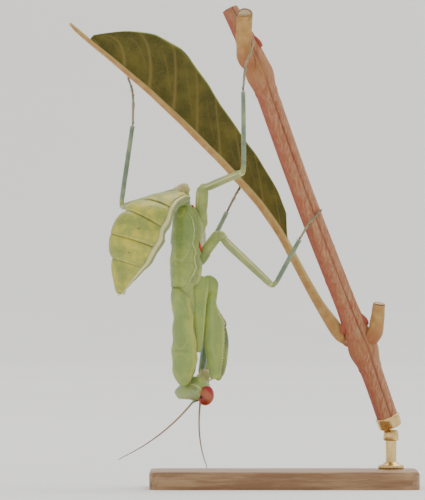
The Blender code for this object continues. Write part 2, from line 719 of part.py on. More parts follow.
def main():
    for obj in list(bpy.data.objects):
        bpy.data.objects.remove(obj)
    parts = bpy.data.collections.new("praying_mantis")
    cutters = bpy.data.collections.new("cutters")
    for collection in (parts, cutters):
        bpy.context.scene.collection.children.link(collection)
    make_thorax(parts)
    make_prothorax(parts)
    make_abdomen(parts)
    make_head(parts)
    make_antennae(parts)
    make_neck(parts)
    for name in WALKING_LEGS:
        make_walking_leg(name, parts)
    for side in FORE_LEGS:
        make_fore_leg(side, parts)
    make_perch(parts)
    make_stand(parts)
    for name, neighbours in CARVED.items():
        carve(name, neighbours, parts, cutters)


main()
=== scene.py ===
"""Looks of the praying mantis nymph on its perch: cuticle plates, spined legs, bark, leaf and stand.

Each visible surface is measured from its CAD solid in the frame and rebuilt smooth, in millimetres,
with its plates, ridges, spines and markings. A Track holds the measured sections of a solid.
"""

import random
from math import atan2, copysign, cos, exp, hypot, pi, radians, sin, sqrt

import bmesh
import bpy
import numpy as np
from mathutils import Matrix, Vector


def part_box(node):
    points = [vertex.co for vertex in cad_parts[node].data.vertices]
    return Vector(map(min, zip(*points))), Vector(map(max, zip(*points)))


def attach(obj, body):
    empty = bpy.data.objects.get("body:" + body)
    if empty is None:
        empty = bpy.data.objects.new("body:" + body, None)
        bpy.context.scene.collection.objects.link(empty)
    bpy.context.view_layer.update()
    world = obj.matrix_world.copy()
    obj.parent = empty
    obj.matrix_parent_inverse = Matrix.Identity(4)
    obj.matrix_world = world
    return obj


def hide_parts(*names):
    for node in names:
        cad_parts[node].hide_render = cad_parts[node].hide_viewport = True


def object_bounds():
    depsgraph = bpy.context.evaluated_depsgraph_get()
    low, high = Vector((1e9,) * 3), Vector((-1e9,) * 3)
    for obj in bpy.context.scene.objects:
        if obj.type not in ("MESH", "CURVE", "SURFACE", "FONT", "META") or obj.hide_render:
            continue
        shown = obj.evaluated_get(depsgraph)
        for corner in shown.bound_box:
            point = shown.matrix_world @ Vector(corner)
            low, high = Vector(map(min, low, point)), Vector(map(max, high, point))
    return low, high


MM = 0.001
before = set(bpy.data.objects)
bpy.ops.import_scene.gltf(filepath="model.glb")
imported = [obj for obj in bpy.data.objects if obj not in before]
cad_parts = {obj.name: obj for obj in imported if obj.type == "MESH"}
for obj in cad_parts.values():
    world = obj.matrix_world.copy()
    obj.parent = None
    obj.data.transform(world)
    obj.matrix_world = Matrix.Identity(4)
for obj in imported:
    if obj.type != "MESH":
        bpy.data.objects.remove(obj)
CAD_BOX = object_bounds()
rng = random.Random(7)

# --- the animal's own directions ---
BODY_TURN = radians(42)
LEFT = np.array((cos(BODY_TURN), -sin(BODY_TURN), 0))
DORSAL = np.array((-sin(BODY_TURN), -cos(BODY_TURN), 0))
FORWARD = np.array((0, 0, -1.0))
CROWN_AIM = np.array((-0.37, -0.26, -0.89))
TOP, BELLY = pi / 2, -pi / 2  # angles round a section: 0 is the left side
HIP_SIDE = radians(-42)  # where the left hips spring from the trunk
SIDES = (("left", 1), ("right", -1))

# --- colours, linear ---
GREEN = (0.37, 0.445, 0.09)
GREEN_DEEP = (0.22, 0.31, 0.07)
GREEN_YELLOW = (0.50, 0.50, 0.09)
FEMUR_GREEN = (0.34, 0.42, 0.075)
YELLOW = (0.60, 0.54, 0.06)
BAND_GREY = (0.36, 0.40, 0.19)
CREAM = (0.80, 0.74, 0.34)
BLUE_GREEN = (0.29, 0.36, 0.19)
PINK_TAN = (0.36, 0.27, 0.17)
BROWN = (0.10, 0.045, 0.018)
RED = (0.65, 0.01, 0.008)
SPINE_TIP = (0.12, 0.03, 0.02)


def unit(v):
    return v / (np.linalg.norm(v) + 1e-12)


def eased(values, t):
    """The value at share t of a row of evenly spaced values, joined by smooth steps."""
    at = min(max(t, 0.0), 1.0) * (len(values) - 1)
    i = min(int(at), len(values) - 2)
    x = at - i
    return values[i] + (values[i + 1] - values[i]) * x * x * (3 - 2 * x)


def bump(x, centre, width):
    return exp(-(((x - centre) / width) ** 2))


def turn_between(a, b):
    """The angle from b to a, between -pi and pi."""
    return atan2(sin(a - b), cos(a - b))


def bump_round(a, centre, width):
    """A bump at an angle."""
    return bump(turn_between(a, centre), 0, width)


def turns(count):
    """Evenly spaced angles of a full turn."""
    return [2 * pi * k / count for k in range(count)]


def circle(at, u, v, radius, count):
    """Points round a place, in two directions."""
    return [at + (u * cos(a) + v * sin(a)) * radius for a in turns(count)]


# --- measuring the CAD solids ---


def solid(*names):
    """Vertices in mm and triangles of CAD nodes."""
    points, faces, start = [], [], 0
    for name in names:
        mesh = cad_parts[name].data
        mesh.calc_loop_triangles()
        points.append(np.array([v.co[:] for v in mesh.vertices]) / MM)
        faces.append(np.array([t.vertices[:] for t in mesh.loop_triangles]) + start)
        start += len(mesh.vertices)
    return np.concatenate(points), np.concatenate(faces)


def middle(name):
    low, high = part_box(name)
    return np.array((low + high) / 2) / MM


def centroid(name):
    return solid(name)[0].mean(axis=0)


def far_point(name, aim):
    points, _ = solid(name)
    return points[np.argmax(points @ aim)]


def farthest(name, at):
    points, _ = solid(name)
    return points[np.argmax(np.linalg.norm(points - at, axis=1))]


def cut(points, faces, at, normal, reach):
    """Points where a solid's edges cross a plane, within reach of at."""
    height = (points - at) @ normal
    found = []
    for a, b in ((0, 1), (1, 2), (2, 0)):
        p, q = faces[:, a], faces[:, b]
        crossing = height[p] * height[q] < 0
        p, q = p[crossing], q[crossing]
        share = height[p] / (height[p] - height[q])
        found.append(points[p] + (points[q] - points[p]) * share[:, None])
    found = np.concatenate(found)
    return found[np.linalg.norm(found - at, axis=1) < reach]


def softened(rows, times):
    """Evens out a row of measurements and keeps its ends."""
    for _ in range(times):
        rows[1:-1] = (rows[:-2] + 2 * rows[1:-1] + rows[2:]) / 4
    return rows


def resampled(route, count):
    route = np.array(route, float)
    along = np.concatenate([[0], np.cumsum(np.linalg.norm(np.diff(route, axis=0), axis=1))])
    wanted = np.linspace(0, along[-1], count)
    return np.stack([np.interp(wanted, along, route[:, k]) for k in range(3)], 1)


def curve(route, count, soft):
    """Evenly spaced points on a route with its corners softened."""
    return softened(resampled(route, count), soft)


class Track:
    """Sections measured along one or more CAD solids: centre, two directions and three half sizes."""

    def __init__(self, names, route, side, up, count=30, soft=3, reach=1e9, widest=False, full=2.0, cap=0.6):
        points, faces = solid(*names)
        self.full, self.cap, self.count = full, cap, count
        path = resampled(route, count)
        for _ in range(2):
            ahead = softened(np.gradient(path, axis=0), 2)
            ahead /= np.linalg.norm(ahead, axis=1)[:, None]
            rows, known, sign, last_side = [], [], 0, np.array(side, float)
            for i, at in enumerate(path):
                u = unit(last_side - ahead[i] * (last_side @ ahead[i]))
                v = np.cross(ahead[i], u)
                sign = sign or (1 if v @ np.array(up) > 0 else -1)
                v = v * sign
                found = cut(points, faces, at, ahead[i], reach)
                if len(found) < 6:
                    continue
                x, y = (found - at) @ u, (found - at) @ v
                if widest:
                    lean = 0.5 * atan2(2 * np.cov(x, y)[0, 1], np.var(x) - np.var(y))
                    u, v = u * cos(lean) + v * sin(lean), v * cos(lean) - u * sin(lean)
                    x, y = (found - at) @ u, (found - at) @ v
                last_side = u
                level = (y[np.argmax(x)] + y[np.argmin(x)]) / 2
                centre = at + u * (x.max() + x.min()) / 2 + v * level
                known.append(i)
                rows.append([*centre, *u, *v, (x.max() - x.min()) / 2, y.max() - level, level - y.min()])
            rows = np.stack([np.interp(np.arange(count), known, column) for column in zip(*rows)], 1)
            path = softened(rows[:, :3].copy(), soft)
        rows[:, :3] = path
        rows[:, 3:] = softened(rows[:, 3:], soft)
        self.rows = rows
        self.length = np.linalg.norm(np.diff(path, axis=0), axis=1).sum()

    def row(self, t):
        at = min(max(t, 0.0), 1.0) * (self.count - 1)
        i = min(int(at), self.count - 2)
        return self.rows[i] + (self.rows[i + 1] - self.rows[i]) * (at - i)

    def centre(self, t):
        return self.row(t)[:3]

    def ahead(self, t):
        return unit(self.centre(min(1, t + 0.02)) - self.centre(max(0, t - 0.02)))

    def point(self, t, angle, lift=0.0):
        """A place on the surface: share t along, angle round, raised by lift; past the ends it domes over."""
        row = self.row(t)
        c, s = cos(angle), sin(angle)
        over = max(0.0, -t, t - 1)
        shrink = sqrt(max(0.0, 1 - over**2))
        x = copysign(abs(c) ** (2 / self.full), c) * (row[9] * shrink + lift)
        y = copysign(abs(s) ** (2 / self.full), s) * ((row[10] if s > 0 else row[11]) * shrink + lift)
        at = row[:3] + row[3:6] * x + row[6:9] * y
        if over:
            cap = min(row[9], row[10] + row[11]) * self.cap
            at = at + self.ahead(t) * (cap * over * (1 if t > 1 else -1))
        return at

    def wide(self, t):
        """The half width of a section."""
        return self.row(t)[9]

    def out(self, t, at):
        """The direction to a place from the middle line."""
        return unit(at - self.centre(t))


def straight(name, aim, side, up=DORSAL, inset=0.03, **options):
    """The track of a straight limb along an aim."""
    points, _ = solid(name)
    aim = unit(aim)
    along = points @ aim
    core = points.mean(axis=0)
    low, high = along.min(), along.max()
    short = (high - low) * inset
    route = [core + aim * (at - core @ aim) for at in (low + short, high - short)]
    return Track((name,), route, side, up, **options)


# --- making pieces ---


def grid(name, rows, material, values=None, closed=True, ends=True):
    """A mesh through rows of points in mm; closed joins each row's ends, ends fills the first and last.

    A value has a number for each point, or one for each row.
    """
    rows = np.array(rows)
    n, m = rows.shape[:2]
    index = np.arange(n * m).reshape(n, m)
    right = np.roll(index, -1, axis=1) if closed else index[:, 1:]
    base = index if closed else index[:, :-1]
    quads = np.stack([base[:-1], right[:-1], right[1:], base[1:]], -1).reshape(-1, 4).tolist()
    if ends:
        quads += [index[0][::-1].tolist(), index[-1].tolist()]
    mesh = bpy.data.meshes.new(name)
    mesh.from_pydata((rows.reshape(-1, 3) * MM).tolist(), [], quads)
    for key, numbers in (values or {}).items():
        layer = mesh.attributes.new(key, "FLOAT", "POINT")
        numbers = np.array(numbers, np.float32).reshape(n, -1)
        layer.data.foreach_set("value", np.broadcast_to(numbers, (n, m)).reshape(-1))
    shape = bmesh.new()
    shape.from_mesh(mesh)
    bmesh.ops.recalc_face_normals(shape, faces=shape.faces)
    shape.to_mesh(mesh)
    shape.free()
    mesh.shade_smooth()
    mesh.materials.append(material)
    obj = bpy.data.objects.new(name, mesh)
    bpy.context.scene.collection.objects.link(obj)
    return obj


def keep(obj, slot, *nodes):
    """The piece rides on the one body and may stand for CAD nodes, which it hides; its slot is not used."""
    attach(obj, "root")
    if nodes:
        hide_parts(*nodes)


def join(name, parts):
    """Several objects made into one."""
    with bpy.context.temp_override(active_object=parts[0], selected_editable_objects=parts):
        bpy.ops.object.join()
    parts[0].name = name
    return parts[0]


def skin(name, track, material, along, around, lift, values=None, dome=True):
    """A closed surface over a whole track. lift and values are functions of the share and the angle."""
    ts = [k / (along - 1) for k in range(along)]
    if dome:
        over = (0.35, 0.65, 0.87, 0.97, 0.999)
        ts = [-x for x in reversed(over)] + ts + [1 + x for x in over]
    angles = turns(around)
    rows = [[track.point(t, a, lift(t, a)) for a in angles] for t in ts]
    table = {
        key: [[f(min(max(t, 0), 1), a) for a in angles] for t in ts] for key, f in (values or {}).items()
    }
    return grid(name, rows, material, table)


def plate(name, track, material, span, facing, half_angle, lift, thickness, along, across, values, rear=None):
    """A shell plate on a track: span of shares, centred on an angle; lift(x, s) over x 0..1 and s -1..1.

    rear(s) moves the plate's first edge along, which fades out over the plate's length.
    """
    rows = []
    table = {key: [] for key in values}
    layers = [(1, s) for s in np.linspace(-1, 1, across)] + [(0, s) for s in np.linspace(1, -1, across)]
    for x in np.linspace(0, 1, along):
        t = span[0] + (span[1] - span[0]) * x
        half = half_angle(x)
        row = []
        for outer, s in layers:
            raised = lift(x, s) - (0 if outer else thickness)
            moved = rear(s) * (1 - x) ** 8 if rear else 0
            row.append(track.point(t + moved, facing + s * half, raised))
        rows.append(row)
        for key, f in values.items():
            table[key].append([f(x, s) for _, s in layers])
    return grid(name, rows, material, table)


def frames_along(path):
    """Directions ahead, across and up for each point of a path, carried along without twist."""
    ahead = np.gradient(np.array(path, float), axis=0)
    ahead /= np.linalg.norm(ahead, axis=1)[:, None]
    across = np.array((0.3, 0.9, 0.2))
    found = []
    for aim in ahead:
        across = unit(across - aim * (across @ aim))
        found.append((aim, across, np.cross(aim, across)))
    return found


def resampled_rows(rows, times):
    """Rows of a surface with more rows between them, on smooth curves."""
    index = np.arange(len(rows))
    finer = np.linspace(0, len(rows) - 1, (len(rows) - 1) * times + 1)
    flat = np.array([np.interp(finer, index, column) for column in rows.reshape(len(rows), -1).T]).T
    return softened(flat, 6).reshape(len(finer), -1, 3)


def hose(name, path, radii, material, around=12, values=None):
    """A round body along a path."""
    places = zip(path, radii, frames_along(path))
    rows = [circle(at, u, v, radius, around) for at, radius, (_, u, v) in places]
    return grid(name, rows, material, values)


def thorn(name, root, tip, radius, material, bend=0.0, steps=7, around=7):
    """A spine or claw from root to tip, bowed by bend, with its tip share painted."""
    ts = [k / steps for k in range(steps + 1)]
    path = [root + (tip - root) * t + bend * 4 * t * (1 - t) for t in ts]
    radii = [max(radius * (1 - t) ** 0.8, radius * 0.06) for t in ts]
    return hose(name, path, radii, material, around, {"tip": ts})


# --- materials ---


class Paint:
    """Builds one material's nodes, coat over coat. Coordinates are in millimetres."""

    def __init__(self, name):
        self.material = bpy.data.materials.new(name)
        self.material.use_nodes = True
        self.tree = self.material.node_tree
        coordinates = self.node("TexCoord").outputs["Object"]
        self.place = self.node("VectorMath", {0: coordinates, "Scale": 1 / MM}, operation="SCALE").outputs[0]
        self.colour = self.height = None

    def node(self, kind, inputs=None, **settings):
        node = self.tree.nodes.new("ShaderNode" + kind)
        for key, value in settings.items():
            setattr(node, key, value)
        self.fill(node, inputs or {})
        return node

    def fill(self, node, inputs):
        """Links other nodes' sockets to a node's inputs, and sets the constants among them."""
        for key, value in inputs.items():
            if isinstance(value, bpy.types.NodeSocket):
                self.tree.links.new(value, node.inputs[key])
            else:
                node.inputs[key].default_value = value

    def noise(self, scale, detail=3.0, stretch=None, rough=0.55):
        inputs = {"Scale": scale, "Detail": detail, "Roughness": rough, "Vector": self.stretched(stretch)}
        return self.node("TexNoise", inputs).outputs["Fac"]

    def cells(self, scale, feature="F1", stretch=None):
        inputs = {"Scale": scale, "Vector": self.stretched(stretch)}
        return self.node("TexVoronoi", inputs, feature=feature).outputs["Distance"]

    def stretched(self, stretch):
        if stretch is None:
            return self.place
        return self.node("Mapping", {"Scale": stretch, "Vector": self.place}).outputs["Vector"]

    def value(self, key):
        return self.node("Attribute", attribute_name=key).outputs["Fac"]

    def ramp(self, source, low, high):
        """Maps source so that low gives 0 and high gives 1, smoothly."""
        inputs = {"From Min": low, "From Max": high, "Value": source}
        return self.node("MapRange", inputs, interpolation_type="SMOOTHSTEP").outputs["Result"]

    def ground(self, share, a, b):
        """The first coat: colour a where share is 0 and b where it is 1."""
        self.colour = self.node("Mix", {"Factor": share, 6: (*a, 1), 7: (*b, 1)}, data_type="RGBA").outputs[2]

    def coat(self, share, colour, strength=None):
        """A colour over what is there, by a share that strength may weaken."""
        if strength is not None:
            share = self.node("Math", {0: share, 1: strength}, operation="MULTIPLY").outputs[0]
        inputs = {"Factor": share, 6: self.colour, 7: (*colour, 1)}
        self.colour = self.node("Mix", inputs, data_type="RGBA").outputs[2]

    def raised(self, source, depth, strength=1.0):
        """Adds a bump of depth mm."""
        inputs = {"Distance": depth * MM, "Strength": strength, "Height": source}
        if self.height:
            inputs["Normal"] = self.height
        self.height = self.node("Bump", inputs).outputs["Normal"]

    def done(self, rough, **constants):
        """Finishes the material. A constant has the name of its input, with _ for a space."""
        span = self.node("MapRange", {"To Min": rough[0], "To Max": rough[1], "Value": self.noise(2.5)})
        inputs = {"Base Color": self.colour, "Roughness": span.outputs["Result"]}
        if self.height:
            inputs["Normal"] = self.height
        inputs.update({key.replace("_", " "): value for key, value in constants.items()})
        self.fill(self.tree.nodes["Principled BSDF"], inputs)
        return self.material


def cuticle(name, main, deep, pale=CREAM, accent=RED, speckle=0.35, glow=0.12):
    """Waxy, faintly translucent insect cuticle; painted by the values pale, deep, accent and tip."""
    paint = Paint(name)
    paint.ground(paint.ramp(paint.noise(0.45), 0.35, 0.68), deep, main)
    paint.coat(paint.ramp(paint.noise(3.4, 6), 0.5, 0.78), pale, 0.2)
    paint.coat(paint.ramp(paint.cells(3.2), 0.16, 0.05), pale, speckle)
    paint.coat(paint.value("deep"), deep)
    paint.coat(paint.value("pale"), pale)
    paint.coat(paint.ramp(paint.value("accent"), 0.2, 0.8), accent)
    paint.coat(paint.ramp(paint.value("tip"), 0.45, 0.9), SPINE_TIP)
    paint.raised(paint.cells(9.0), 0.012)
    paint.raised(paint.noise(14, 4), 0.015)
    return paint.done(
        (0.34, 0.5), Subsurface_Weight=glow, Subsurface_Radius=(0.0006, 0.0008, 0.0003),
        Subsurface_Scale=1.0, Coat_Weight=0.08, Coat_Roughness=0.3,
    )


THORAX = cuticle("thorax_cuticle_look", GREEN, GREEN_DEEP, pale=(0.74, 0.72, 0.36), speckle=0.2)
PRONOTUM = cuticle("pronotum_look", GREEN, GREEN_DEEP, pale=GREEN_YELLOW, accent=(0.4, 0.14, 0.08))
PLEURA = cuticle("side_cuticle_look", (0.34, 0.42, 0.105), (0.21, 0.28, 0.07), speckle=0.2)
LEG = cuticle("leg_look", (0.38, 0.40, 0.14), (0.26, 0.32, 0.11))
# Painted highlight: a pale tan look given only to the raised far hind joint, for the light it catches.
PAINTED_HIGHLIGHT_TAN = cuticle("tan_joint_painted_highlight_look", (0.52, 0.47, 0.20), (0.44, 0.40, 0.17), speckle=0.1)
COXA = cuticle("coxa_look", (0.36, 0.42, 0.11), (0.25, 0.31, 0.08))
FORE = cuticle("fore_leg_look", FEMUR_GREEN, (0.24, 0.33, 0.075), pale=(0.50, 0.52, 0.17))
# Painted shade: a darker, bluer copy of the fore leg's look, for the far fore leg in shade.
FORE_PAINTED_SHADE = cuticle("far_fore_leg_painted_shade_look", (0.19, 0.28, 0.13), (0.10, 0.18, 0.10), pale=(0.3, 0.38, 0.2))
FORE_TIBIA = cuticle("fore_tibia_look", (0.31, 0.38, 0.085), (0.12, 0.20, 0.07), pale=(0.36, 0.42, 0.18))
TIBIA = cuticle("tibia_look", BLUE_GREEN, (0.15, 0.22, 0.14), pale=(0.42, 0.46, 0.30), speckle=0.5)
FOOT = cuticle("tarsus_look", PINK_TAN, (0.21, 0.19, 0.11), accent=BROWN)
STERNITE = cuticle("sternite_look", YELLOW, (0.27, 0.32, 0.06), accent=(0.085, 0.07, 0.02), speckle=0.15)
TERGITE = cuticle(
    "tergite_look", (0.30, 0.35, 0.13), (0.20, 0.27, 0.09), (0.70, 0.66, 0.28), accent=(0.16, 0.11, 0.04),
)
MEMBRANE = cuticle("side_membrane_look", BAND_GREY, (0.24, 0.28, 0.12), glow=0.2)
HEAD = cuticle("head_look", (0.32, 0.39, 0.09), (0.24, 0.31, 0.13), accent=(0.42, 0.16, 0.04), speckle=0.15)
MOUTH = cuticle(
    "mouth_look", (0.46, 0.46, 0.14), (0.33, 0.36, 0.11), pale=(0.72, 0.50, 0.40), accent=(0.45, 0.10, 0.06),
)
SPINES = cuticle("spine_look", (0.45, 0.42, 0.25), (0.32, 0.30, 0.15), speckle=0.0)
SPINE_RED = cuticle("grip_spine_look", (0.34, 0.22, 0.10), (0.28, 0.16, 0.08), speckle=0.0)
PALE_TIP = cuticle("cercus_look", (0.80, 0.78, 0.62), (0.50, 0.50, 0.30), speckle=0.0)
RED_SKIN = cuticle("red_skin_look", RED, (0.35, 0.01, 0.01), pale=(0.7, 0.08, 0.05), speckle=0.0)


# --- the trunk ---


def trunk_track(*names, full, soft):
    """The track down one or more upright segments, the rearmost first."""
    x, y, _ = middle(names[0])
    top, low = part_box(names[0])[1].z / MM - 0.08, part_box(names[-1])[0].z / MM + 0.08
    return Track(names, ((x, y, top), (x, y, low)), LEFT, DORSAL, count=60, soft=soft, full=full)


def make_thorax():
    """The two rear segments: soft sides with folds, and a back plate each with a pale raised margin."""
    track = trunk_track("metathorax", "mesothorax", full=2.2, soft=5)
    seam = lambda a: 0.46 + 0.04 * sin(3 * a)
    flank = radians(325)

    def fold(t, a):
        side = max(0, -sin(a - 0.35))
        swell = 0.5 * bump(a, flank, 0.5) * bump(t, 0.86, 0.16)
        swell += 0.3 * bump(a, flank, 0.45) * bump(t, 0.3, 0.16)
        seams = -0.09 * bump(t, seam(a), 0.018) - 0.06 * bump(t, 0.2 + 0.1 * sin(a), 0.012)
        return -0.04 + swell + side * (seams + 0.03 * sin(40 * t + 3 * a))

    side_values = {
        "deep": lambda t, a: 0.7 * bump(t, seam(a), 0.025) * (sin(a) < 0.3),
        "pale": lambda t, a: 0.3 * bump(a, radians(330), 0.25),
    }
    body = skin("thorax_sides", track, PLEURA, 110, 96, fold, side_values)
    keep(body, "thorax_cuticle", "metathorax", "mesothorax")

    def lift(x, s):
        rim = 0.09 * bump(abs(s), 0.98, 0.018)
        gutter = -0.05 * bump(abs(s), 0.91, 0.035)
        dents = -0.05 * bump(abs(s), 0.55, 0.14) * bump(x, 0.55, 0.3)
        keel = 0.035 * bump(s, 0, 0.03)
        ridge = 0.03 * bump(x, 0.86 - 0.25 * s * s, 0.03)
        return 0.05 + rim + gutter + dents + keel + ridge - 0.06 * (x < 0.015)

    def u_line(x, s):
        """A faint pale line that curves across the back."""
        return 0.22 * bump(x, 0.27 - 0.9 * (s + 0.2) ** 2, 0.022) * (x > 0.02) * (abs(s + 0.2) < 0.5)

    values = {
        "pale": lambda x, s: max(bump(abs(s), 0.98, 0.022), u_line(x, s)),
        "deep": lambda x, s: 0.55 * bump(abs(s), 0.90, 0.05) + 0.3 * bump(x, 0.97, 0.03),
    }
    for name, span, halves in (
        ("metathorax", (0.0, 0.515), (40, 56, 66, 72, 74, 72)),
        ("mesothorax", (0.50, 1.0), (71, 80, 87, 90, 87, 78, 62)),
    ):
        half = lambda x, halves=halves: radians(eased(halves, x))
        shield = plate(f"{name}_notum", track, THORAX, span, TOP, half, lift, 0.1, 70, 100, values)
        keep(shield, "thorax_cuticle")
    front = trunk_track("prothorax", full=2.0, soft=8)
    rows = []
    for part, t, drop, lobe in (
        (track, 0.84, -0.3, 0.0), (track, 0.92, -0.12, 0.25), (track, 0.99, -0.1, 0.55),
        (front, 0.02, -0.08, 0.8), (front, 0.08, -0.1, 0.75), (front, 0.15, -0.1, 0.6),
        (front, 0.24, -0.12, 0.3), (front, 0.32, -0.4, 0.0),
    ):
        rows.append([part.point(t, a, drop + lobe * bump_round(a, HIP_SIDE, 0.5)) for a in turns(64)])
    rows = np.array(rows)
    rows = np.concatenate([rows[:1], (rows[:-1] + rows[1:]) / 2, rows[-1:]])
    keep(grid("thorax_joint", resampled_rows(rows, 4), PLEURA), "thorax_cuticle")
    make_red_marks(track)
    return track


def make_red_marks(track):
    """The bright red skin behind the middle hip, and the red dot where the rear hip begins."""
    for name, place, angle, length, width in (
        ("red_skin_patch", 0.485, -20, 0.95, 0.15), ("red_skin_dot", 0.015, -2, 0.3, 0.1),
    ):
        path, radii = [], []
        for k in range(17):
            t = place + (k / 16 - 0.5) * length / track.length
            path.append(track.point(t, radians(angle) + 0.05 * sin(k), 0.12))
            radii.append(width * (0.25 + 0.75 * sin(pi * k / 16)) * (1 + 0.2 * sin(k * 2.1)))
        keep(hose(name, path, radii, RED_SKIN, 14), "thorax_cuticle")


def make_prothorax():
    """The front segment: its underside, the saddle of the pronotum, and the teeth on its edges."""
    track = trunk_track("prothorax", full=2.0, soft=8)
    body = skin(
        "prosternum", track, PLEURA, 70, 64, lambda t, a: -0.06 + 0.03 * cos(t * 60) * (sin(a) < -0.3),
        {"deep": lambda t, a: 0.4 * (sin(a) < 0)},
    )
    track.rows[0, :3] -= FORWARD * 0.45
    keep(body, "thorax_cuticle", "prothorax")
    sulcus = 0.62  # where the groove over the fore hips crosses the back

    def groove(x, s):
        return bump(x, sulcus + 0.10 * s * s, 0.012)

    def lift(x, s):
        flange = 0.13 * max(0, (abs(s) - 0.9) / 0.1) ** 1.5
        rim = 0.05 * bump(abs(s), 0.95, 0.02)
        gutter = -0.06 * bump(abs(s), 0.84, 0.05)
        keel = 0.05 * bump(s, 0, 0.025) * (x < sulcus)
        oval = -0.05 * bump(s, 0, 0.35) * bump(x, 0.80, 0.09)
        swell = 0.05 * bump(abs(s), 0.42, 0.2) * bump(x, 0.3, 0.25)
        rear = 0.05 * bump(x, 0.03, 0.02) + 0.16 * bump(x, 0.05, 0.09)
        shoulder = 0.1 * bump(abs(s), 1, 0.3) * bump(x, 0.25, 0.13)
        return 0.03 + flange + rim + gutter + keel + oval + swell + rear + shoulder - 0.085 * groove(x, s)

    def ovals(x, s):
        """Faint pale outlines of a long oval behind the groove and a round one before it."""
        long_one = bump(hypot((x - 0.34) / 0.27, s / 0.52), 1, 0.05)
        round_one = bump(hypot((x - 0.79) / 0.13, s / 0.5), 1, 0.07)
        return 0.3 * max(long_one, round_one)

    def deep(x, s):
        hollow = 0.85 * bump(s, 0.05, 0.42) * bump(x, 0.4, 0.35)
        dimple = 0.7 * bump(s, 0, 0.33) * bump(x, 0.8, 0.12)
        return min(1, hollow + dimple + 0.6 * groove(x, s))

    def pale(x, s):
        return max(0.85 * bump(abs(s), 0.95, 0.04), 0.6 * bump(abs(s), 0.78, 0.12), ovals(x, s))

    values = {
        "pale": pale,
        "deep": deep,
        "accent": lambda x, s: 0.55 * (abs(s) > 0.985) * bump(x, 0.6, 0.35),
    }
    shield = plate(
        "pronotum", track, PRONOTUM, (0.0, 0.995), TOP, lambda x: radians(91), lift, 0.12, 130, 90, values,
        rear=lambda s: 0.075 * max(0, -s) ** 2.5,
    )
    keep(shield, "thorax_cuticle")
    teeth = []
    for side in (0, pi):
        for k in range(46):
            t = 0.22 + 0.72 * k / 45
            root = track.point(t, side, 0.12)
            out = track.out(t, root)
            tip = root + out * (0.11 + 0.05 * sin(k * 2.4)) + FORWARD * 0.03
            teeth.append(thorn("tooth", root - out * 0.05, tip, 0.055, SPINES, steps=3, around=6))
    keep(join("pronotum_denticles", teeth), "thorax_cuticle")


def make_neck():
    points, _ = solid("neck")
    aim = points[np.argmin(points[:, 2])] - points[np.argmax(points[:, 2])]
    track = straight("neck", aim, LEFT, count=12)
    folds = lambda t, a: 0.05 * sin(t * 22)
    keep(skin("neck_skin", track, MEMBRANE, 24, 28, folds), "thorax_cuticle", "neck")


# --- the abdomen ---


def abdomen_track():
    """The track down the abdomen, and the shares at which its segments meet."""
    names = [f"abdomen_{k}" for k in range(1, 7)]
    points, _ = solid(names[0])
    depth = points @ DORSAL
    base = points[depth < depth.min() + 0.15].mean(axis=0)
    centroids = [centroid(name) for name in names]
    tip = far_point(names[-1], FORWARD)
    route = [base + DORSAL * 0.1, *centroids, tip * 0.9 + centroids[-1] * 0.1]
    track = Track(names, route, LEFT, DORSAL, count=90, soft=16, reach=6.5, widest=True, full=2.1)
    ends = [0.0]
    for first, following in zip(names, names[1:]):
        a, b = solid(first)[0], solid(following)[0]
        for i in range(5, track.count):
            share, at = i / (track.count - 1), track.rows[i, :3]
            nearer = np.linalg.norm(b - at, axis=1).min() < np.linalg.norm(a - at, axis=1).min()
            if nearer and share > ends[-1] + 0.05:
                break
        ends.append(share)
    return track, names, [*ends, 1.0]


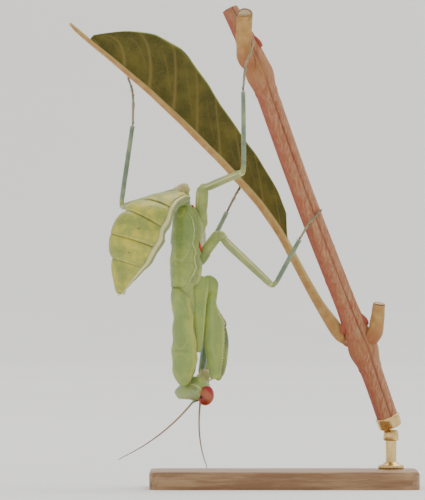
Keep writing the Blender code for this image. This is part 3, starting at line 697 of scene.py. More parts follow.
def make_abdomen():
    """Soft skin, five belly plates seen from the viewer's side, and six back plates with cream margins."""
    track, names, ends = abdomen_track()
    ruck = lambda t, a: -0.14 + 0.02 * sin(t * 160)
    keep(skin("abdomen_membrane", track, MEMBRANE, 120, 64, ruck), "abdomen_cuticle", *names)
    shift = radians(-22)  # the plates sit rolled a little on the flattened body
    spans = list(zip(ends, ends[1:]))

    def bulge(x, number):
        swell = 0.38 * (1 - exp(-x / 0.16)) - 0.22 - 0.13 * max(0, (x - 0.7) / 0.3) ** 2
        return swell * (1.0 if number < 5 else 0.5)

    def pillow(x, side, number):
        """Each ring bulges at the flank, with a notch before the next."""
        share = min(1, max(0, 2.2 * side)) * (1.0 if number < 5 else 0.4)
        return (0.52 * (max(0, 4 * x * (1 - x))) ** 0.6 - 0.35) * share

    def belly_marks(x, s):
        """Dark seams: a dark line along a plate's rear edge, and painted shadow at its front edge, which lies
        under the plate before; two small muscle marks, and a row of tiny dots before a plate's rear edge.
        """
        seams = bump(x, 0.985, 0.014) + bump(x, 0.0, 0.045) + 0.4 * bump(s, 0.99, 0.012)
        spots = bump(x, 0.5, 0.035) * bump(s, 0.34, 0.022) + 0.6 * bump(x, 0.62, 0.02) * bump(s, -0.1, 0.015)
        dots = 0.8 * bump(x, 0.88 + 0.03 * sin(17 * s), 0.018) * max(0, sin(34 * s + 1.5)) ** 14
        return min(1, seams + spots + dots)

    def back_marks(x, s):
        # A dark line along the plate's rear edge, and painted shadow at its front edge, under the plate
        # before.
        seams = (0.6 * bump(x, 0.985, 0.015) + 0.5 * bump(x, 0.0, 0.03)) * (abs(s) < 0.7)
        corners = 0.8 * bump(x, 0.93, 0.03) * bump(abs(s), 0.86, 0.015)
        return min(1, seams + corners + 0.7 * bump(abs(s), 0.785, 0.012))

    belly = {
        "accent": belly_marks,
        # deep: painted shade over the far half of each belly plate, which turns away from the light, and a
        # faint darker band before the rear edge.
        "deep": lambda x, s: min(1, 0.85 * max(0, -s - 0.1) ** 1.2 + 0.3 * bump(x, 0.86, 0.06)),
        "pale": lambda x, s: 0.12 * bump(x, 0.93, 0.02),
    }
    back = {
        "pale": lambda x, s: min(1, 1.2 * bump(abs(s), 0.89, 0.075)),
        "accent": back_marks,
        "deep": lambda x, s: 0.5 * bump(s, 0, 0.25),
    }
    for number, (start, end) in enumerate(spans[:4] + [(spans[4][0], spans[5][1])], 1):

        def belly_lift(x, s, number=number):
            crease = -0.05 * bump(s, 0.55, 0.04) * bump(x, 0.5, 0.3)
            right = max(0, (s - 0.5) / 0.5)
            return bulge(x, number) * (1 - 0.5 * right) + crease + pillow(x, -s, number)

        sternite = plate(
            f"sternite_{number}", track, STERNITE, (start, end + (0.01 if number < 5 else 0)),
            BELLY + shift, lambda x: radians(75), belly_lift, 0.09, 60, 110, belly,
        )
        keep(sternite, "abdomen_cuticle")
    for number, (start, end) in enumerate(spans, 1):

        def back_lift(x, s, number=number):
            ridge = 0.10 * bump(abs(s), 0.86, 0.08)
            band = -0.04 * bump(abs(s), 0.78, 0.015) - 0.15 * max(0, (abs(s) - 0.95) / 0.05)
            keel = 0.05 * bump(s, 0, 0.03)
            right = max(0, min(1, (-s - 0.4) / 0.3))
            domed = 0.8 * bulge(x, min(number, 5)) * (1 - 0.8 * right)
            return domed + ridge + band + keel + pillow(x, s, number)

        tergite = plate(
            f"tergite_{number}", track, TERGITE, (start + 0.002, end + 0.013 * (number < 6)), TOP + shift,
            lambda x: radians(106), back_lift, 0.09, 40, 130, back,
        )
        keep(tergite, "abdomen_cuticle")
    make_abdomen_tip(track)


def make_abdomen_tip(track):
    """The valves at the tip and the two ringed cerci."""
    tip, ahead, across = track.centre(1.0), track.ahead(1.0), track.row(1.0)[3:6]
    for side, sign in SIDES:
        points, _ = solid(f"cercus_{side}")
        aim = unit(ahead * 0.9 + across * sign * 0.15)
        core = points.mean(axis=0)
        reach = (points - core) @ aim
        path = [core + aim * x for x in np.linspace(reach.min(), reach.max(), 41)]
        rings = [0.27 * (1 - 0.5 * (k / 40)) * (1 - 0.16 * (k % 5 == 0)) for k in range(41)]
        rings[-1] = 0.03
        keep(hose(f"cercus_{side}_rings", path, rings, PALE_TIP, 16), "pale_cuticle", f"cercus_{side}")
        ts = [k / 12 for k in range(13)]
        valve = [tip + ahead * (1.3 * t - 0.9) + across * sign * 0.2 * (1 - t * 0.6) for t in ts]
        widths = [0.2 * sin(pi * (0.12 + 0.86 * t)) + 0.02 for t in ts]
        keep(hose(f"valve_{side}", valve, widths, PALE_TIP, 14), "pale_cuticle")


# --- the head ---

EYES = {side: centroid(f"eye_{side}") for side, _ in SIDES}
HEAD_LEFT = unit(EYES["left"] - EYES["right"])
CROWN = unit(CROWN_AIM - HEAD_LEFT * (CROWN_AIM @ HEAD_LEFT))
FACE = np.cross(HEAD_LEFT, CROWN)
BROW = (EYES["left"] + EYES["right"]) / 2  # midway between the eyes
AXES = (HEAD_LEFT, FACE, CROWN)
PUPIL_AIMS = {"left": (-0.56, -0.81, -0.17), "right": (-0.6, 0.5, -0.3)}  # where the dark spot looks from


def head_place(left, face, crown):
    """A place from the middle of the brow, in mm to the left, to the face and to the crown."""
    return BROW + HEAD_LEFT * left + FACE * face + CROWN * crown


def make_eyes():
    paint = Paint("compound_eye_look")
    zone = paint.value("zone")
    paint.ground(paint.ramp(zone, -0.05, -0.4), (0.40, 0.12, 0.05), (0.34, 0.01, 0.018))
    paint.coat(paint.ramp(zone, 0.3, 0.75), (0.25, 0.02, 0.006))
    paint.coat(paint.ramp(paint.value("rim"), 0.55, 1.0), (0.33, 0.02, 0.012))
    paint.coat(paint.ramp(paint.noise(1.6), 0.4, 0.7), (0.42, 0.06, 0.03), 0.35)
    paint.coat(paint.ramp(paint.value("pupil"), 0.35, 0.75), (0.03, 0.0, 0.002))
    paint.raised(paint.cells(26.0), 0.006)
    look = paint.done((0.2, 0.3), Coat_Weight=0.1, Coat_Roughness=0.04, Specular_IOR_Level=0.35)
    turn, rise = np.meshgrid(turns(56), np.linspace(-0.499, 0.499, 49) * pi)
    narrow = np.cos(rise) * (1 - 0.1 * np.maximum(0, -np.sin(rise)))  # slimmer towards the mouth
    ball = np.stack([np.cos(turn) * narrow, np.sin(turn) * narrow, np.sin(rise)], -1)
    for side, sign in SIDES:
        name = f"eye_{side}"
        spread = solid(name)[0] - EYES[side]
        halves = [np.ptp(spread @ aim) / 2 * (1.0 if sign > 0 else 0.9) for aim in AXES]
        shift = CROWN * 0.25 - FACE * 0.2 if sign > 0 else CROWN * -0.6
        offset = sum(ball[:, :, k : k + 1] * half * aim for k, (half, aim) in enumerate(zip(halves, AXES)))
        aimed = (offset / np.linalg.norm(offset, axis=2)[:, :, None]) @ unit(np.array(PUPIL_AIMS[side]))
        values = {
            "zone": ball[:, :, 2] - 0.25 * ball[:, :, 1],
            "rim": 1 - np.clip(sign * ball[:, :, 0], 0, 1),
            "pupil": np.clip((aimed - 0.972) / 0.014, 0, 1),
        }
        keep(grid(f"{name}_facets", EYES[side] + shift + offset, look, values), "eye_facets", name)


def make_head():
    track = straight("head", CROWN, HEAD_LEFT, FACE, inset=0.06, count=30, soft=4, full=2.2, cap=0.55)

    def lift(t, a):
        front, back, side = max(0, sin(a)), max(0, -sin(a)), abs(cos(a))
        vertex_groove = -0.07 * bump(side, 0.32, 0.05) * bump(t, 0.9, 0.3) * (back > 0)
        occiput = 0.07 * bump(t, 0.50, 0.035) * back**0.5
        cheek = 0.05 * bump(side, 0.8, 0.2) * bump(t, 0.35, 0.15)
        face_line = -0.06 * bump(t, 0.34, 0.025) * front
        socket = -0.3 * bump_round(a, 0.6, 0.45) * bump(t, 0.54, 0.3)
        return vertex_groove + occiput + cheek + face_line + socket + 0.28 * bump(t, 0, 0.2)

    values = {
        "pale": lambda t, a: min(1, 0.8 * bump(t, 0.50, 0.03) * (sin(a) < -0.2) + 0.25 * (sin(a) > 0.4)),
        "accent": lambda t, a: 0.5 * bump(t, 0.93, 0.03) * (abs(turn_between(a, 0)) < 1.9),
        # deep: painted shade on the head's right side, turned away from the light, and a faint dark band on
        # the back of the head.
        "deep": lambda t, a: 0.8 * max(0, -cos(a)) ** 2 + 0.3 * bump(t, 0.42, 0.06) * (sin(a) < 0),
    }
    keep(skin("head_capsule", track, HEAD, 70, 96, lift, values), "thorax_cuticle", "head")
    make_ocelli(track)
    make_mouthparts()
    make_antennae()


def make_ocelli(track):
    """Three small simple eyes on the brow, between the feelers."""
    paint = Paint("ocellus_look")
    paint.ground(paint.ramp(paint.noise(5), 0.3, 0.7), (0.45, 0.22, 0.06), (0.7, 0.45, 0.2))
    paint.raised(paint.noise(20), 0.004)
    amber = paint.done((0.08, 0.15), Coat_Weight=0.6)
    for k, (left, crown) in enumerate(((0, 0.35), (-0.28, 0.75), (0.28, 0.75)), 1):
        t = 0.55 + 0.13 * crown
        root = track.point(t, TOP - left * 0.42, -0.04)
        out = track.out(t, root)
        path = [root + out * 0.16 * x for x in (0, 0.3, 0.55, 0.8, 0.95, 1)]
        keep(hose(f"ocellus_{k}", path, [0.15, 0.15, 0.14, 0.1, 0.05, 0.01], amber, 16), "eye_facets")


def make_mouthparts():
    """The upper lip and jaws, with two pairs of small feelers."""
    mouth = straight("mouthparts", -CROWN, HEAD_LEFT, FACE, count=16, soft=1)
    mouth.rows[:, :3] += np.linspace(0.1, 0.6, 16)[:, None] * FACE + np.linspace(1.1, 0, 16)[:, None] * CROWN

    def lift(t, a):
        clypeus = -0.05 * bump(t, 0.22, 0.04) - 0.05 * bump(t, 0.52, 0.03)
        jaw_line = -0.10 * bump(abs(cos(a)), 0.62, 0.05) * (t > 0.15)
        return clypeus + jaw_line + 0.45 * (1 - 0.75 * t)

    values = {
        "accent": lambda t, a: 0.3 * bump(t, 0.97, 0.04) + 0.25 * bump(abs(cos(a)), 0.62, 0.04),
        "pale": lambda t, a: 0.9 * bump(t, 1, 0.16),
    }
    keep(skin("labrum_and_jaws", mouth, MOUTH, 36, 56, lift, values), "pale_cuticle", "mouthparts")
    for side, sign in SIDES:
        out = HEAD_LEFT * sign
        hinge = mouth.point(0.3, 0.25 if sign > 0 else pi - 0.25)
        route = [
            hinge + out * left + FACE * face - CROWN * down
            for left, face, down in ((0, -0.1, 0), (0.15, 0.2, 0.3), (0.05, 0.5, 0.7), (-0.12, 0.9, 0.8))
        ]
        palp(f"maxillary_palp_{side}", route, 0.11, 5)
        inner = mouth.point(0.75, BELLY + sign * 0.5)
        route = [inner, inner - FACE * 0.25 - CROWN * 0.2, inner - FACE * 0.15 - CROWN * 0.65]
        palp(f"labial_palp_{side}", route, 0.09, 3)
        root, tip = mouth.point(0.35, TOP - sign * 0.9, -0.05), mouth.point(0.9, TOP - sign * 0.2)
        keep(thorn(f"mandible_{side}", root, tip, 0.24, MOUTH, out * 0.16, 12, 14), "pale_cuticle")


def palp(name, route, radius, joints):
    """A small jointed feeler of the mouth."""
    path = curve(route, joints * 8 + 1, 4)
    radii = []
    for k in range(len(path)):
        swell = sin(pi * min(1, (k % 8) / 8 * 1.1))
        radii.append(radius * (0.72 + 0.38 * swell) * (1 - 0.25 * k / len(path)))
    radii[-1] = radius * 0.2
    keep(hose(name, path, radii, MOUTH), "pale_cuticle")


def centreline(name, aim, count, soft):
    """The middle line of a slender solid, along an aim."""
    points, faces = solid(name)
    aim, core = unit(aim), points.mean(0)
    along = points @ aim
    path = []
    for x in np.linspace(along.min() + 0.02, along.max() - 0.02, count):
        found = cut(points, faces, core + aim * (x - core @ aim), aim, 1e9)
        if len(found):
            path.append((found.max(0) + found.min(0)) / 2)
    return curve(path, count, soft)


def make_antennae():
    paint = Paint("antenna_look")
    along = paint.value("along")
    paint.ground(paint.ramp(along, 0.02, 0.16), (0.12, 0.30, 0.19), (0.38, 0.24, 0.10))
    paint.coat(paint.ramp(along, 0.25, 0.6), (0.26, 0.10, 0.03))
    paint.coat(paint.ramp(along, 0.6, 0.98), (0.05, 0.02, 0.012))
    paint.coat(paint.value("ring"), (0.55, 0.42, 0.25), 0.5)
    paint.raised(paint.noise(18), 0.008)
    look = paint.done((0.35, 0.5))
    joints, scape_end, pedicel_end = 72, 0.05, 0.075
    ts = [k / 239 for k in range(240)]
    pinches = [abs(sin(pi * joints * t)) for t in ts]
    radii = []
    for t, pinch in zip(ts, pinches):
        whip = 0.115 * (1 - t) ** 0.7 + 0.042
        thick = 0.2 if t < scape_end else 0.16 if t < pedicel_end else whip
        radii.append(thick * (0.86 + 0.14 * pinch))
    radii[-1] = 0.01
    values = {"ring": [1 - min(1, pinch * 2.5) for pinch in pinches], "along": ts}
    for side, sign in SIDES:
        name = f"antenna_{side}"
        line = centreline(name, farthest(name, BROW) - BROW, 60, 4)
        scape = line[0] * 0.5 + head_place(sign * 0.45, 0.9, 0.55) * 0.5
        line = curve([scape, *line[3:]], 240, 3)
        keep(hose(f"{name}_flagellum", line, radii, look, 10, values), "antenna_cuticle", name)


# --- the legs ---


def ridged(ridges, height=0.05, base=0.0):
    """Lengthwise ridges at some angles, fading towards the ends."""

    def lift(t, a):
        fade = sin(pi * min(max(t, 0.02), 0.98)) ** 0.3
        return base + height * fade * sum(bump_round(a, angle, 0.16) for angle in ridges)

    return lift


def line_value(angle, width=0.18, share=0.8):
    """A painted line along a limb, fading at its ends."""
    return lambda t, a: share * bump_round(a, angle, width) * min(1, 6 * t) * min(1, 6 * (1 - t))


def shell(node, track, material, slot, along, around, lift, values):
    """The skin of a whole limb part, in place of its CAD node."""
    keep(skin(f"{node}_shell", track, material, along, around, lift, values), slot, node)


def bristles(name, track, count, length, seed, facing=0, spread=pi):
    """Short stiff hairs that lean along a limb."""
    pick = random.Random(seed)
    hairs = []
    for _ in range(count):
        t = 0.05 + 0.9 * pick.random()
        root = track.point(t, facing + spread * (2 * pick.random() - 1), -0.02)
        size = length * (0.6 + 0.7 * pick.random())
        tip = root + track.out(t, root) * size * 0.7 + track.ahead(t) * size * 0.75
        hairs.append(thorn("hair", root, tip, 0.018, SPINES, steps=2, around=4))
    return join(name, hairs)


def make_walking_leg(leg):
    """A slender leg: hip, thigh, shin and foot, with its soft joints, hairs and spurs."""
    parts = [f"{leg}_{part}" for part in ("coxa", "femur", "tibia", "tarsus")]
    coxa_at, femur_at, tibia_at, tarsus_at = (centroid(part) for part in parts)
    knee_side = unit(np.cross(femur_at - coxa_at, tibia_at - femur_at))
    coxa = straight(parts[0], main_axis(parts[0], -FORWARD), knee_side, count=20)
    front = 0.0 if knee_side[1] < 0 else pi
    ridge = ridged((front, front + 0.9, front - 1.1), 0.05, 0.14 if leg.startswith("hind") else 0.02)
    values = {"pale": line_value(front + 0.5, 0.16, 0.9), "deep": lambda t, a: 0.5 * bump(t, 1, 0.12)}
    shell(parts[0], coxa, COXA, "thorax_cuticle", 36, 40, ridge, values)
    make_hip(leg, coxa)
    femur = straight(parts[1], main_axis(parts[1], tibia_at - coxa_at), knee_side, count=24, inset=0.02)
    femur_ridge = ridged((0.4, 1.5, 2.7, 4.2, 5.3), 0.045, -0.015)
    femur_lift = lambda t, a: femur_ridge(t, a) + 0.05 * bump(t, 0.975, 0.03) + 0.02 * bump(t, 0.9, 0.05)
    values = {
        "pale": lambda t, a: max(line_value(0.4)(t, a), line_value(2.7)(t, a), 0.6 * bump(t, 1, 0.03)),
        "deep": lambda t, a: 0.35 * bump(t, 0.93, 0.03),
    }
    shell(parts[1], femur, LEG, "thorax_cuticle", 60, 40, femur_lift, values)
    make_trochanter(leg, coxa, femur)
    tibia = straight(parts[2], main_axis(parts[2], tarsus_at - femur_at), knee_side, count=24, inset=0.02)
    tibia_ridge = ridged((0.8, 2.4, 3.9, 5.5), 0.03, -0.05)
    tibia_lift = lambda t, a: tibia_ridge(t, a) + 0.07 * bump(t, 0.99, 0.05) + 0.03 * bump(t, 0.03, 0.05)
    values = {"pale": lambda t, a: 0.5 * bump(t, 1, 0.03) + 0.35 * bump(t, 0, 0.05)}
    shell(parts[2], tibia, TIBIA, "tibia_cuticle", 60, 32, tibia_lift, values)
    make_joint(f"{leg}_knee", femur, tibia)
    keep(bristles(f"{leg}_femur_hairs", femur, 40, 0.16, 3), "thorax_cuticle")
    keep(bristles(f"{leg}_tibia_hairs", tibia, 70, 0.2, 5), "tibia_cuticle")
    make_spurs(leg, tibia)
    make_tarsus(leg, tibia)


def make_hip(leg, coxa):
    """The soft lobe of the body's side that the hip joint springs from."""
    share = (thorax_track.centre(0)[2] - coxa.centre(0.15)[2]) / thorax_track.length
    inside = thorax_track.centre(min(0.97, share + 0.04))
    path = curve([inside, coxa.centre(0.0), coxa.centre(0.32)], 24, 4)
    radii = [(1.25 - 0.42 * k / 23) * (1 - 0.06 * bump(k, 16, 2)) for k in range(24)]
    radii[-1] = 0.6
    values = {"deep": [0.5 * bump(k, 16, 2.5) for k in range(24)]}
    keep(hose(f"{leg}_hip_lobe", path, radii, PLEURA, 28, values), "thorax_cuticle")


def main_axis(name, toward):
    """The long direction of a solid, pointing roughly the given way."""
    points, _ = solid(name)
    axis = np.linalg.svd(points - points.mean(axis=0), full_matrices=False)[2][0]
    return axis if axis @ toward > 0 else -axis


def make_trochanter(leg, coxa, femur):
    """The small joint piece between hip joint and thigh."""
    raised = leg == "hind_right"  # its joint stands up behind the belly's root
    corner = (coxa.centre(1.0) + femur.centre(0.0)) / 2 + (0.85 * LEFT - 0.3 * FORWARD) * raised
    path = curve([coxa.centre(0.94), corner, femur.centre(0.05)], 22, 8 if raised else 3)
    wide = (coxa.wide(1.0) + femur.wide(0.1)) / 2 * (1.35 if raised else 1.0)
    radii = [wide * (0.93 + 0.12 * sin(pi * k / 21) - 0.12 * bump(k, 15, 1.3)) for k in range(22)]
    radii[0] = radii[-1] = wide * 0.5
    values = {"pale": [0.35 * bump(k, 15, 2) for k in range(22)]}
    # The raised joint alone takes the pale tan look, a painted highlight.
    keep(hose(f"{leg}_trochanter", path, radii, PAINTED_HIGHLIGHT_TAN if raised else COXA, 24, values), "thorax_cuticle")


def make_joint(name, upper, lower):
    """The soft skin and the condyle where a thigh meets a shin."""
    corner = (upper.centre(1.0) * 1.6 + lower.centre(0.0) * 0.4) / 2
    path = curve([upper.centre(0.97), corner, lower.centre(0.05)], 18, 2)
    first, last = upper.wide(0.97) * 0.95, lower.wide(0.06) * 1.02
    radii = np.linspace(first, last, 18)
    radii[0], radii[-1] = first * 0.6, last * 0.7
    keep(hose(name, path, radii, LEG, 20), "thorax_cuticle")


def make_spurs(leg, tibia):
    spurs = []
    for angle in (BELLY - 0.6, BELLY + 0.6, TOP):
        root = tibia.point(0.97, angle, -0.05)
        tip = root + tibia.out(0.97, root) * 0.22 + tibia.ahead(0.95) * 0.34
        spurs.append(thorn("spur", root, tip, 0.06, SPINES, steps=5, around=8))
    keep(join(f"{leg}_spurs", spurs), "tibia_cuticle")


def make_tarsus(leg, tibia):
    """Five foot joints, the first as long as the rest, with pads and two claws."""
    name = f"{leg}_tarsus"
    root = tibia.centre(1.0)
    line = centreline(name, farthest(name, root) - root, 40, 3)
    count = 121
    path = curve([root + (line[0] - root) * 0.2, *line[1:]], count, 2)
    stops = (0.0, 0.47, 0.61, 0.72, 0.80, 1.0)
    rows, accents = [], []
    for k, (at, (aim, across, up)) in enumerate(zip(path, frames_along(path))):
        t = k / (count - 1)
        joint = max(i for i, stop in enumerate(stops[:-1]) if stop <= t)
        x = (t - stops[joint]) / (stops[joint + 1] - stops[joint])
        width = 0.15 + 0.035 * x - 0.05 * bump(x, 0, 0.08) - 0.06 * bump(x, 1, 0.05)
        if joint == 4:
            width = 0.12 + 0.05 * x
        pad = 0.08 * bump(x, 0.86, 0.14) * (joint < 4)
        sole = lambda a: 1 + pad / width * max(0, -sin(a))
        rows.append([at + (across * cos(a) + up * sin(a) * sole(a)) * width for a in turns(14)])
        accents.append(0.9 * bump(t, 0.035, 0.03) + 0.35 * bump(x, 1, 0.06))
    keep(grid(f"{name}_joints", rows, FOOT, {"accent": accents}), "pale_cuticle", name)
    end, claws = path[-1], []
    for sign in (1, -1):
        tip = end + aim * 0.28 + across * sign * 0.24 - up * 0.12
        bend = up * 0.09 + across * sign * 0.05
        claws.append(thorn("claw", end - aim * 0.05, tip, 0.055, SPINES, bend, 8, 8))
    keep(join(f"{leg}_claws", claws), "pale_cuticle")


FEMUR_START = 0.09  # the thigh's pointed root, in front of its hip joint


def make_fore_leg(side):
    """The grasping leg: ridged hip, stout spined thigh, and the spined shin with its claw folded on it."""
    leg = f"fore_{side}"
    slot, near = "fore_leg_cuticle", side == "left"
    splay, lean = 0.743, 0.669  # how far the spined edge faces sideways and to the belly
    edge = unit(LEFT * splay * (1 if near else -1) - DORSAL * lean)
    # The far leg takes the darker copy of the look, which is painted shade.
    look = FORE if near else FORE_PAINTED_SHADE
    across = np.cross(edge, FORWARD)
    name = f"{leg}_coxa"
    coxa = straight(name, main_axis(name, -FORWARD), across, edge, count=24, full=2.2)
    ridge = ridged((0.5, 2.6, TOP, BELLY - 0.45), 0.06, -0.02)

    def coxa_lift(t, a):
        inner = max(0, -sin(a)) * (0.3 + 0.55 * bump(t, 0.72, 0.36))
        outer = max(0, sin(a)) * 0.28 * (1 - min(1, max(0, t)))
        return ridge(t, a) + inner - outer

    values = {
        "pale": lambda t, a: max(line_value(0.5, 0.16)(t, a), line_value(2.6, 0.16)(t, a)),
        "deep": lambda t, a: 0.5 * bump(t, 0.95, 0.06),
    }
    shell(name, coxa, look, slot, 60, 56, coxa_lift, values)
    keep(bristles(f"{leg}_coxa_spines", coxa, 26, 0.16, 9, TOP, 0.25), slot)
    name = f"{leg}_femur"
    femur = straight(name, FORWARD, across, edge, count=30, inset=0.02)
    for k in range(femur.count):
        past = max(0, k / (femur.count - 1) - FEMUR_START)
        femur.rows[k, 9:12] *= (min(1, 0.25 + 8 * past), min(1, 0.15 + 2.5 * past), min(1, 0.4 + 8 * past))
    femur_ridge = ridged((0.35, -0.35, pi - 0.35, pi + 0.35), 0.03, -0.02)

    def femur_lift(t, a):
        groove = -0.08 * bump_round(a, TOP, 0.12)
        rim = 0.05 * (bump_round(a, TOP - 0.42, 0.12) + bump_round(a, TOP + 0.42, 0.12))
        lobes = 0.07 * bump(t, 0.965, 0.03) + 0.12 * max(0, sin(a)) * bump(t, 0.5, 0.25)
        brunner = -0.03 * bump(t, 0.36 + 0.08 * cos(a), 0.012)
        return femur_ridge(t, a) + (groove + rim) * min(1, 5 * (1 - t)) + lobes + brunner

    def femur_pale(t, a):
        lines = [line_value(*line)(t, a) for line in ((pi, 0.2, 0.2), (0, 0.2, 0.2), (BELLY, 0.25, 0.6))]
        return max(*lines, 0.4 * bump(t, 0.99, 0.03), 0.8 * bump(abs(turn_between(a, TOP)), 0.55, 0.12))

    values = {"pale": femur_pale, "deep": lambda t, a: 0.35 * bump(t, 0.93, 0.03)}
    shell(name, femur, look, slot, 100, 72, femur_lift, values)
    make_elbow(leg, coxa, femur, across, edge, look)
    name = f"{leg}_tibia"
    tibia = straight(name, main_axis(name, -FORWARD), across, edge, count=24)
    for k in range(tibia.count):
        t = k / (tibia.count - 1)
        tibia.rows[k, :3] -= edge * (0.45 * max(0, t - 0.6) ** 2 / 0.16 + 0.25 * max(0, 0.4 - t) ** 2 / 0.16)
    tibia_ridge = ridged((0.6, 2.5, TOP), 0.045)
    tibia_lift = lambda t, a: tibia_ridge(t, a) + 0.3 * max(0, -sin(a))
    values = {"pale": lambda t, a: 0.5 * bump(t, 0, 0.06)}
    shell(name, tibia, FORE_TIBIA, "tibia_cuticle", 60, 40, tibia_lift, values)
    make_grip(leg, femur, tibia, edge, across, femur_lift)
    make_wrist(leg, femur, tibia)
    make_fore_tarsus(leg, tibia)


def make_elbow(leg, coxa, femur, across, edge, look):
    """The domed trochanter that carries the thigh on the end of the hip."""
    centre = (coxa.centre(1.0) + femur.centre(0.0)) / 2 + across * 0.35 + edge * 0.1
    rows, seams = [], []
    for k in range(34):
        x = k / 33
        size = max(0.02, sin(pi * min(0.5, 0.02 + x * 1.15))) ** 0.62 * (1 - 0.3 * x)
        rows.append(circle(centre + FORWARD * (3.6 * x - 0.6), across * 0.64, edge * 1.52, size, 48))
        seams.append([0.6 * bump(hypot(x - 0.55, 0.5 * sin(a - 0.9)), 0.42, 0.035) for a in turns(48)])
    keep(grid(f"{leg}_trochanter", rows, look, {"deep": seams}), "fore_leg_cuticle")


def make_grip(leg, femur, tibia, edge, across, swell):
    """Two rows of thigh spines, the shin's spines, and its long end claw."""
    spines = []
    for row, count in ((1, 5), (-1, 14)):
        for k in range(count):
            t = 0.46 + 0.46 * (k + 0.5) / count
            size = 0.5 if row > 0 else (0.45 if k % 2 else 0.3)
            angle = TOP - row * 0.42
            root = femur.point(t, angle, swell(t, angle) - 0.03)
            tip = root + edge * size * 0.8 + across * row * size * 0.35 + FORWARD * -size * 0.25
            spines.append(thorn("spine", root, tip, 0.085, SPINE_RED, FORWARD * 0.04, 6, 9))
    for k in range(4):
        root = femur.point(0.38 + 0.03 * k, TOP, swell(0.38, TOP) - 0.05)
        tip = root + edge * (0.26 + 0.08 * (k == 1)) - FORWARD * 0.1
        spines.append(thorn("disc_spine", root, tip, 0.085, SPINES, steps=6, around=9))
    for row, count in ((1, 9), (-1, 11)):
        for k in range(count):
            t = 0.12 + 0.82 * k / (count - 1)
            angle = BELLY + row * 0.75
            root = tibia.point(t, angle, -0.04)
            size = 0.2 + 0.22 * t
            tip = root - edge * size * 0.45 + across * row * size * 0.65 - FORWARD * size * 0.75
            spines.append(thorn("spine", root, tip, 0.06, SPINE_RED, steps=6, around=8))
    end = tibia.centre(1.0)
    tip = end + tibia.ahead(1.0) * 0.75 - edge * 0.6
    spines.append(thorn("claw", end - tibia.ahead(1.0) * 0.35, tip, 0.2, SPINES, edge * 0.14, 12, 12))
    keep(join(f"{leg}_spines", spines), "fore_leg_cuticle")


def make_wrist(leg, femur, tibia):
    corner = (femur.centre(1.0) + tibia.centre(0.0)) / 2 + FORWARD * 0.12
    path = curve([femur.centre(0.95), corner, tibia.centre(0.06)], 18, 3)
    radii = [0.42 * sin(pi * (0.15 + 0.7 * k / 17)) for k in range(18)]
    keep(hose(f"{leg}_wrist", path, radii, FORE, 20), "fore_leg_cuticle")


def make_fore_tarsus(leg, tibia):
    name = f"{leg}_tarsus"
    root = tibia.centre(0.98)
    line = centreline(name, farthest(name, root) - root, 30, 2)
    xs = [(k / 80 * 5) % 1 for k in range(81)]
    radii = [0.135 * (0.75 + 0.35 * sin(pi * min(1, x * 1.15))) for x in xs]
    radii[-1] = 0.03
    values = {"accent": [0.5 * bump(x, 0.98, 0.1) for x in xs]}
    path = curve([root, *line[2:]], 81, 2)
    keep(hose(f"{name}_joints", path, radii, FOOT, values=values), "pale_cuticle", name)


# --- the perch ---


def cut_line(name, first, last, count, soft=3):
    """The middle line of a round piece that is cut square at both ends, at first and at last."""
    trim, inset = max(2, count // 10), 0.3
    inner = centreline(name, last - first, count, soft)[trim:-trim]
    ends = [end + unit(near - end) * inset for end, near in ((first, inner[0]), (last, inner[-1]))]
    return resampled([ends[0], *inner, ends[1]], count)


def cap_centre(points, height, reach=1.3):
    """The middle of the flat end of a round piece, near a height."""
    ring = points[abs(points[:, 2] - height) < reach]
    return (ring.min(axis=0) + ring.max(axis=0)) / 2


def nearest_share(track, at):
    """The share along a track whose centre is nearest to a place."""
    ts = np.linspace(0, 1, 241)
    return ts[np.argmin([np.linalg.norm(track.centre(t) - at) for t in ts])]


def lathe(name, at, axis, radius, profile, material, slot, around=48, values=None):
    """A turned piece about an axis: heights along it, and shares of a radius."""
    seed = unit(np.cross(axis, (0.2, 0.9, 0.3)))
    other = np.cross(axis, seed)
    rows = [circle(at + axis * height, seed, other, radius * share, around) for height, share in profile]
    keep(grid(name, rows, material, values), slot)


def rooted(track, host, depth):
    """Carries a stalk's track on by a depth, bending into the twig, with a fat base."""
    root, ahead, added = track.centre(0), track.ahead(0), 14
    extra = []
    for k in range(added, 0, -1):
        share = k / added
        at = root - ahead * depth * share
        row = track.rows[0].copy()
        row[:3] = at + (host.centre(nearest_share(host, at)) - at) * 0.9 * share**2
        row[9:] *= 1 + 0.2 * sin(pi * share) ** 2 - 0.55 * share**3
        extra.append(row)
    track.rows = np.vstack([extra, track.rows])
    track.count += added


